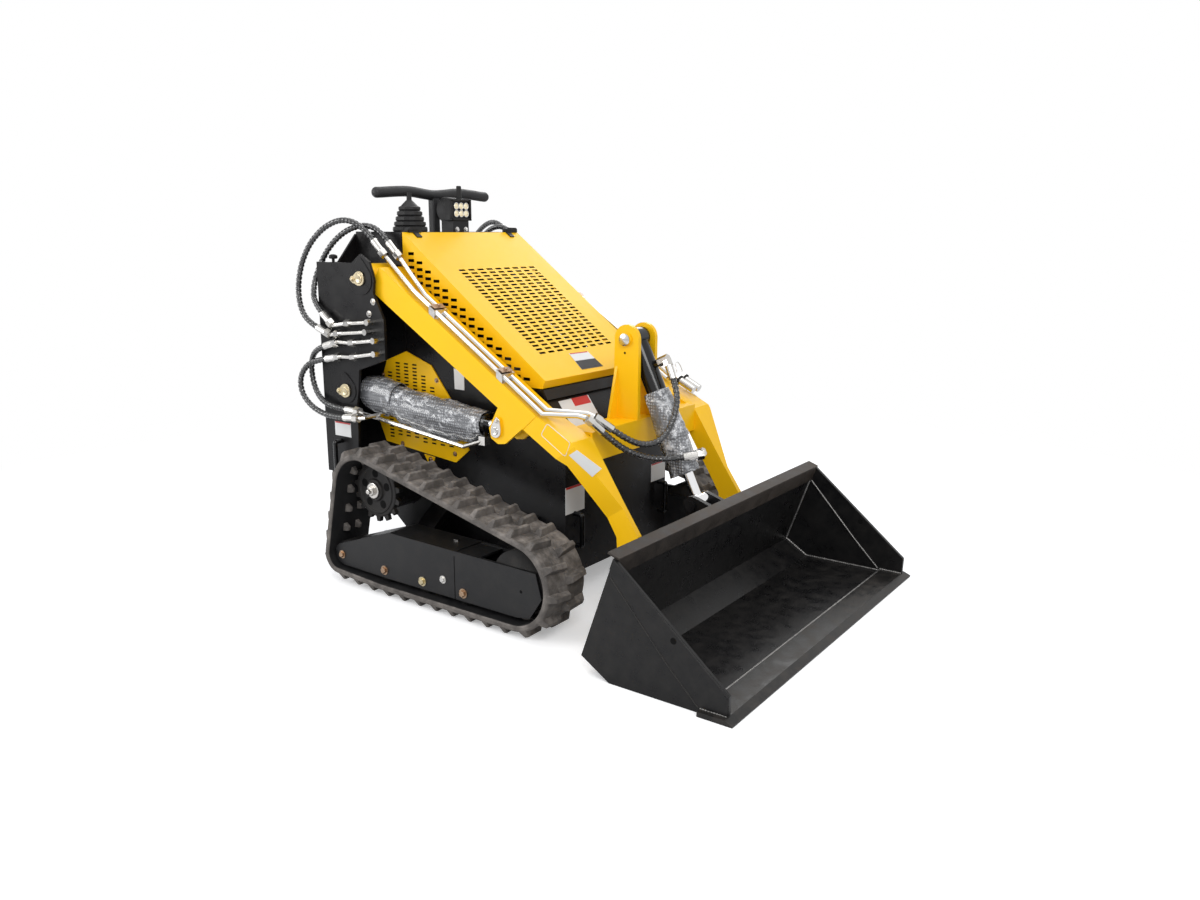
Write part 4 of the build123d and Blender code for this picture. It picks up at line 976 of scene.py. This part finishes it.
def block(bm, side, row, s):
    """One tread lug: slanted across, wide at the root, with a step at its outer end."""
    outer = LUG_REACH * (1 if row > 0 else -1)
    skew = 7

    def corner(s_shift, across, height):
        x, z = on_belt(s + s_shift + skew * across / LUG_REACH * (1 if row > 0 else -1), height)
        return at(x, side * TRACK_MID + across, z)

    inner = 3 * (-1 if row > 0 else 1)
    low = [corner(-13, inner, 18), corner(-12, outer, 18), corner(12, outer, 18), corner(14, inner, 18)]
    top_in, top_out = inner + (8 if row > 0 else -8), outer - (16 if row > 0 else -16)
    high = [corner(-6, top_in, 42), corner(-5, top_out, 42), corner(6, top_out, 41), corner(7, top_in, 42)]
    hexahedron(bm, low, high)
    # foot beside the lug, as moulded between the lugs
    reach = outer * 0.45
    low = [corner(8, inner, 18), corner(8, reach, 18), corner(27, reach, 18), corner(27, inner, 18)]
    high = [corner(8, inner, 25), corner(8, reach, 25), corner(21, reach, 22), corner(21, inner, 22)]
    hexahedron(bm, low, high)


def guide(bm, side, row, s):
    """One steel-cored guide lug on the inside of the belt."""
    def corner(s_shift, across, height):
        x, z = on_belt(s + s_shift, height)
        return at(x, side * TRACK_MID + row * across, z)

    low = [corner(-15, 17, 1), corner(-15, 34, 1), corner(15, 34, 1), corner(15, 17, 1)]
    high = [corner(-8, 19, -21), corner(-8, 30, -21), corner(8, 30, -21), corner(8, 19, -21)]
    hexahedron(bm, low, high)


def frame_details(name, side):
    """Axle bolts on the track frame, the small hole as a dark disc of painted shade, and the joint's screw on its
    top.
    """
    face = side * 551
    kinds = (
        ("copper", COPPER, ((-687, 98, 10), (-476, 85, 11), (-118, 85, 11))),
        ("olive", GOLD, ((-298, 85, 11),)),
        ("bright", BRIGHT, ((-205, 112, 9),)),
    )
    for kind, made, places in kinds:
        bm = bmesh.new()
        for x, z, size in places:
            bolt(bm, at(x, face, z), Y * side, size)
        finish(f"frame_bolts_{kind}_{name}", bm, made, "chassis")
    bm = bmesh.new()
    bolt(bm, at(-221, side * 470, 214), Vector((0, 0, 1)), 9)
    finish(f"frame_top_bolt_{name}", bm, BRIGHT, "chassis")
    # the small hole: a dark disc of painted shade
    bm = bmesh.new()
    turned(bm, at(118, face, 144), Y * side, [(-1, 5), (0.4, 5), (0.4, 0)], 14)
    finish(f"frame_hole_shade_{name}", bm, PAINTED_SHADE, "chassis")


def sprocket_details(name, side):
    """Cast sprocket with teeth, a raised ring and round windows drawn as dark discs of painted shade, and the
    castle nut on its hub.
    """
    x, z, face = -561, 337, TRACK_MID * side
    bm = bmesh.new()
    middle = at(x, face, z)
    turned(
        bm, middle, Y * side,
        [(-8, 0), (-8, 94), (10, 94), (12, 90), (12, 82), (16, 80),
         (16, 74), (12, 72), (12, 40), (20, 36), (20, 0)],
        56,
    )
    teeth = 15
    for k in range(teeth):
        angle = 2 * math.pi * (k + 0.3) / teeth
        tooth = []
        for share, radius in ((-0.30, 92), (-0.15, 111), (0.15, 111), (0.30, 92)):
            turn_by = angle + share * 2 * math.pi / teeth
            tooth.append((x + radius * math.cos(turn_by), z + radius * math.sin(turn_by)))
        side_plate(bm, tooth, face - side * 6, face + side * 9)
    sprocket = finish(f"sprocket_cast_{name}", bm, WHEEL, "chassis", 40, bevel=0.0012)
    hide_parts(f"sprocket_{name}")
    # the round windows: dark discs of painted shade on the sprocket's face
    bm = bmesh.new()
    for k in range(5):
        angle = 2 * math.pi * (k + 0.25) / 5
        spot = at(x + 56 * math.cos(angle), face + side * 12, z + 56 * math.sin(angle))
        turned(bm, spot, Y * side, [(-1, 14), (0.4, 14), (0.4, 0)], 24)
    finish(f"sprocket_window_shade_{name}", bm, PAINTED_SHADE, "chassis", 40)
    bm = bmesh.new()
    hub = at(x, face + side * 20, z)
    turned(bm, hub, Y * side, [(-1, 28), (6, 28), (8, 26), (8, 0)], 28)
    turned(bm, hub, Y * side, [(6, 17), (18, 17), (20, 14), (20, 0)], 6)
    turned(bm, hub, Y * side, [(16, 9), (28, 9), (30, 7), (30, 0)], 18)
    finish(f"hub_nut_{name}", bm, BRIGHT, "chassis", bevel=0.0008)


def small_idler(name):
    """The wheels inside the track, with the front idler drawn in to its tread under the guide lugs."""
    bm = bmesh.new()
    bm.from_mesh(NODES[f"track_wheels_{name}"].data)
    bmesh.ops.remove_doubles(bm, verts=bm.verts, dist=1e-6)
    for vert in bm.verts:
        reach = math.hypot(vert.co.x - 0.097, vert.co.z - 0.166)
        if 0.06 < reach < 0.13:
            vert.co.x = 0.097 + (vert.co.x - 0.097) * 0.8
            vert.co.z = 0.166 + (vert.co.z - 0.166) * 0.8
    wheels = new_object(f"wheels_{name}", bm, WHEEL, "chassis", 32)
    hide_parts(f"track_wheels_{name}")


for name, side in SIDES:
    tread(name, side)
    frame_details(name, side)
    sprocket_details(name, side)
    small_idler(name)


# ---------------------------------------------------------------- bucket details
def bucket_details():
    """Edge strips, weld beads, the stiffening angle along the top, and the holes in the side plates as dark discs
    of painted shade.
    """
    bm = bmesh.new()
    for side in (-1, 1):
        strip = [(518, 358), (871, 69), (869, 16), (786, 16), (690, 110), (512, 306), (507, 328)]
        side_plate(bm, strip, side * 645, side * 649)
    finish("bucket_strips", bm, BUCKET, "bucket", bevel=0.0015)
    bm = bmesh.new()
    side_plate(bm, [(525.5, 355.3), (531.2, 353.3), (512.6, 301), (507, 303)], -635, 635)
    side_plate(bm, [(494, 365), (531, 352), (533, 358), (496, 371)], -640, 640)
    finish("bucket_top_angle", bm, STEEL_LIP, "bucket", bevel=0.0012)
    # the holes: dark discs of painted shade on both faces of each side plate
    bm = bmesh.new()
    for side in (-1, 1):
        turned(bm, at(708, side * 649, 177), Y * side, [(-1, 9), (0.5, 9), (0.5, 0)], 20)
        turned(bm, at(708, side * 635, 177), Y * -side, [(-1, 9), (0.5, 9), (0.5, 0)], 20)
    finish("bucket_hole_shade", bm, PAINTED_SHADE, "bucket")
    bm = bmesh.new()
    for side in (-1, 1):
        y = side * 633
        weld(bm, [at(424, y, 62), at(508, y, 10), at(790, y, 10)], 0.0042)
        weld(bm, [at(424, y, 62), at(524, y, 350)], 0.0042)
        weld(bm, [at(513, side * 634, 300), at(691, side * 634, 108), at(783, side * 634, 16)], 0.0036)
        weld(bm, [at(790, side * 646, 15), at(868, side * 646, 15)], 0.0045)
        weld(bm, [at(790, side * 634, 15), at(868, side * 634, 15)], 0.0045)
    weld(bm, [at(791, -634, 12), at(791, 634, 12)], 0.0045)
    finish("bucket_welds", bm, WELD, "bucket", 60)
    bm = bmesh.new()
    for side in (-1, 1):
        weld(bm, [at(511, side * 649, 306), at(690, side * 649, 109), at(785, side * 649, 17)], 0.0022)
    finish("bucket_strip_welds", bm, EDGE, "bucket", 60)


bucket_details()


# ---------------------------------------------------------------- work light, grips and couplings
def handle():
    """The grab bar in its rubber sleeve, arched to each side of its post."""
    bm = bmesh.new()
    bar_x = -746
    half = [(0, 1313), (50, 1317), (120, 1325), (190, 1322), (262, 1316), (272, 1316)]
    points = [(bar_x, -y, z) for y, z in half[:0:-1]] + [(bar_x, y, z) for y, z in half]
    tube(bm, route_points(points), 0.0185, 24)
    for side in (-1, 1):
        cap = [(-3, 18.5), (5, 18.3), (11, 15), (15, 8), (16, 0)]
        turned(bm, at(bar_x, side * 271, 1316), Y * side, cap, 24)
    post = rounded([(-15, -17), (15, -17), (15, 17), (-15, 17)], 8)
    prism(bm, [at(bar_x + x, y, 1184) for x, y in post], at(0, 0, 126))
    piece = finish("handle_sleeve", bm, GRIP, "chassis", 50)
    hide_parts("handle_bar")


def lamp_details():
    """Housing, bezel, cooling fins, reflector cups and lenses of the work light."""
    x, y, z = -627, 20, 1262
    bm = bmesh.new()
    wide, high, rim = 52, 38, 8

    def box(x0, x1, y0, y1, z0, z1):
        prism(bm, [at(x0, y0, z0), at(x0, y1, z0), at(x0, y1, z1), at(x0, y0, z1)], at(x1 - x0, 0, 0))

    box(x - 36, x - 7, y - wide, y + wide, z - high, z + high)
    box(x - 7, x, y - wide, y + wide, z + high - rim, z + high)
    box(x - 7, x, y - wide, y + wide, z - high, z - high + rim)
    box(x - 7, x, y - wide, y - wide + rim, z - high + rim, z + high - rim)
    box(x - 7, x, y + wide - rim, y + wide, z - high + rim, z + high - rim)
    box(x - 64, x - 4, y - 40, y + 40, 1183, z - high)
    turned(bm, at(x - 53, y - 32, z), Y, [(0, 0), (0, 42), (4, 45), (44, 45), (48, 42), (48, 0)], 40)
    turned(bm, at(x - 12, y, z + 36), Vector((0, 0, 1)), [(0, 9), (46, 9), (48, 7), (48, 0)], 16)
    housing = finish("lamp_housing", bm, RUBBER, "chassis", 40, bevel=0.0015)
    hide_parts("work_light")
    # lenses with a weak painted glow
    bm = bmesh.new()
    for row in (-1, 1):
        for column in (-1, 0, 1):
            place = at(x - 6, y + column * 25, z + row * 13)
            turned(bm, place, Vector((1, 0, 0)), [(0, 10.5), (2, 10.5), (4.5, 8), (5.5, 4), (6, 0)], 20)
    finish("lamp_lenses", bm, LENS_PAINTED_GLOW, "chassis", 50)
    bm = bmesh.new()
    for row in (-1, 1):
        for column in (-1, 0, 1):
            place = at(x - 6, y + column * 25, z + row * 13)
            turned(bm, place, Vector((1, 0, 0)), [(0, 12.3), (5, 12.3), (5, 11), (0.5, 10.6)], 20)
    finish("lamp_cups", bm, CHROME, "chassis", 50)
    bm = bmesh.new()
    for k in range(5):
        top = z + 24 - 12 * k
        prism(bm, [at(x - 37, y - 50, top), at(x - 37, y + 50, top), at(x - 37, y + 50, top - 4),
                   at(x - 37, y - 50, top - 4)], at(-9, 0, 0))
    for row in (-1, 1):
        for column in (-1, 1):
            bolt(bm, at(x, y + column * 46, z + row * 33), Vector((1, 0, 0)), 3.4, washer=False)
    finish("lamp_fins", bm, BLACK, "chassis", bevel=0.0006)
    bm = bmesh.new()
    for column in (-1, 1):
        bolt(bm, at(x - 4, y + column * 22, 1192), Vector((1, 0, 0)), 7)
    finish("lamp_screws", bm, BRIGHT, "chassis")


def pipe_clamps(name, side):
    """Screwed cover plates on the two clamps of an arm's pipes."""
    bm = bmesh.new()
    for x, z in ((-366, 921), (-84, 740)):
        top = z + 26 / 0.842
        way = Vector((0.842, 0, -0.5405))
        up = Vector((0.5405, 0, 0.842))
        centre = at(x, side * 374, top) + up * 0.0005
        corners = ((-11, -25), (11, -25), (11, 25), (-11, 25))
        plate = [centre + way * a / 1000 + Y * b / 1000 for a, b in corners]
        prism(bm, plate, up * 0.0022, 0)
        bolt(bm, centre + up * 0.0022, up, 6, 1)
    finish(f"clamp_plates_{name}", bm, [COPPER, COPPER], "arms", bevel=0.0006)


def coupling_details():
    """Black collars and the wire loop of the left arm's two quick couplings."""
    bm = bmesh.new()
    for y, start in ((392, 0), (356, 0)):
        low, high = coupling_ends(y)
        way = (high - low).normalized()
        turned(bm, low + way * 0.022, way, [(0, 19), (5, 19), (6, 17.5), (6, 14)], 24)
    finish("coupling_collars", bm, RUBBER, "arms", 50)
    low, high = coupling_ends(356)
    other, _ = coupling_ends(392)
    bend = [low + Vector((0.01, 0, 0.018)), low + Vector((-0.004, 0, 0.05)), other + Vector((-0.004, 0, 0.052)),
            other + Vector((0.01, 0, 0.018))]
    bm = bmesh.new()
    tube(bm, route_points([tuple(p * 1000) for p in bend]), 0.0014, 8)
    finish("coupling_wire", bm, BRIGHT, "arms", 60)


def coupling_ends(y):
    """Start and end of a quick coupling on the left arm."""
    level = 1070 - (60 + 598) * 425 / 662 + 26 / 0.842
    return at(84, y, level), at(166, y, level - 40)


handle()
lamp_details()
for name, side in SIDES:
    pipe_clamps(name, side)
coupling_details()

# ---------------------------------------------------------------- softened edges of the CAD plates
for node, width in (
    ("arm_right", 0.003), ("arm_left", 0.003), ("side_cover_right", 0.001),
    ("side_cover_left", 0.001), ("tower", 0.002), ("cross_tube", 0.004), ("bucket", 0.0015),
    ("track_frame_right", 0.0015), ("track_frame_left", 0.0015), ("chassis_frame", 0.002),
    ("wing_plate_right", 0.0012), ("wing_plate_left", 0.0012), ("cutting_edge", 0.0015),
):
    soften(node, width)


# ---------------------------------------------------------------- floor, backdrop and light
def plain(name, colour, rough=0.9):
    """Matt material of the stage."""
    made = bpy.data.materials.new(name)
    made.use_nodes = True
    tree = made.node_tree
    shader = tree.nodes["Principled BSDF"]
    shader.inputs["Base Color"].default_value = (*colour, 1)
    shader.inputs["Roughness"].default_value = rough
    shader.inputs["Specular IOR Level"].default_value = 0.0
    return made


bm = bmesh.new()
bmesh.ops.create_grid(bm, x_segments=1, y_segments=1, size=14)
floor_mesh = bpy.data.meshes.new("floor")
bm.to_mesh(floor_mesh)
bm.free()
floor = bpy.data.objects.new("floor", floor_mesh)
bpy.context.scene.collection.objects.link(floor)
floor.location.z = -0.001
floor_material = plain("floor", (0.90, 0.90, 0.90))
tree = floor_material.node_tree
shader = tree.nodes["Principled BSDF"]
path = add(tree, "ShaderNodeLightPath")
glow = add(tree, "ShaderNodeEmission")
glow.inputs["Strength"].default_value = 0.34
lit = add(tree, "ShaderNodeAddShader")
tree.links.new(shader.outputs[0], lit.inputs[0])
tree.links.new(glow.outputs[0], lit.inputs[1])
# far from the machine the floor turns into the white backdrop
far = add(tree, "ShaderNodeVectorMath", operation="LENGTH")
tree.links.new(add(tree, "ShaderNodeTexCoord").outputs["Object"], far.inputs[0])
fade = spread(tree, far.outputs["Value"], 1.6, 3.4, 0.0, 1.0)
plain_white = add(tree, "ShaderNodeEmission")
plain_white.inputs["Color"].default_value = (1, 1, 1, 1)
ground = add(tree, "ShaderNodeMixShader")
tree.links.new(fade, ground.inputs[0])
tree.links.new(lit.outputs[0], ground.inputs[1])
tree.links.new(plain_white.outputs[0], ground.inputs[2])
chooser = add(tree, "ShaderNodeMixShader")
tree.links.new(path.outputs["Is Camera Ray"], chooser.inputs[0])
tree.links.new(shader.outputs[0], chooser.inputs[1])
tree.links.new(ground.outputs[0], chooser.inputs[2])
tree.links.new(chooser.outputs[0], tree.nodes["Material Output"].inputs[0])
floor_mesh.materials.append(floor_material)

world = bpy.data.worlds.new("studio")
bpy.context.scene.world = world
world.use_nodes = True
tree = world.node_tree
back = tree.nodes["Background"]
back.inputs["Color"].default_value = (0.93, 0.95, 1.0, 1)
back.inputs["Strength"].default_value = 0.55
white = add(tree, "ShaderNodeBackground")
white.inputs["Color"].default_value = (1, 1, 1, 1)
white.inputs["Strength"].default_value = 1.0
path = add(tree, "ShaderNodeLightPath")
seen = add(tree, "ShaderNodeMath", operation="MAXIMUM")
tree.links.new(path.outputs["Is Camera Ray"], seen.inputs[0])
tree.links.new(path.outputs["Is Transmission Ray"], seen.inputs[1])
chooser = add(tree, "ShaderNodeMixShader")
seen_too = add(tree, "ShaderNodeMath", operation="MAXIMUM")
tree.links.new(seen.outputs[0], seen_too.inputs[0])
tree.links.new(path.outputs["Is Glossy Ray"], seen_too.inputs[1])
tree.links.new(seen_too.outputs[0], chooser.inputs[0])
tree.links.new(back.outputs[0], chooser.inputs[1])
tree.links.new(white.outputs[0], chooser.inputs[2])
tree.links.new(chooser.outputs[0], tree.nodes["World Output"].inputs[0])


def lamp(name, place, target, size, power, colour=(1, 1, 1)):
    data = bpy.data.lights.new(name, "AREA")
    data.shape = "RECTANGLE"
    data.size, data.size_y = size
    data.energy = power
    data.color = colour
    obj = bpy.data.objects.new(name, data)
    bpy.context.scene.collection.objects.link(obj)
    obj.location = place
    obj.rotation_euler = (Vector(target) - Vector(place)).to_track_quat("-Z", "Y").to_euler()


lamp("key", (3.6, -3.4, 4.2), (0, 0, 0.5), (2.6, 2.6), 160)
lamp("top", (-0.4, 0.3, 4.6), (0, 0, 0.4), (3.6, 3.6), 62)
lamp("side", (-3.6, -4.2, 2.4), (-0.2, 0, 0.6), (2.4, 2.4), 112)
lamp("rim", (-2.2, 4.2, 3.2), (0, 0, 0.5), (2.6, 2.0), 60)
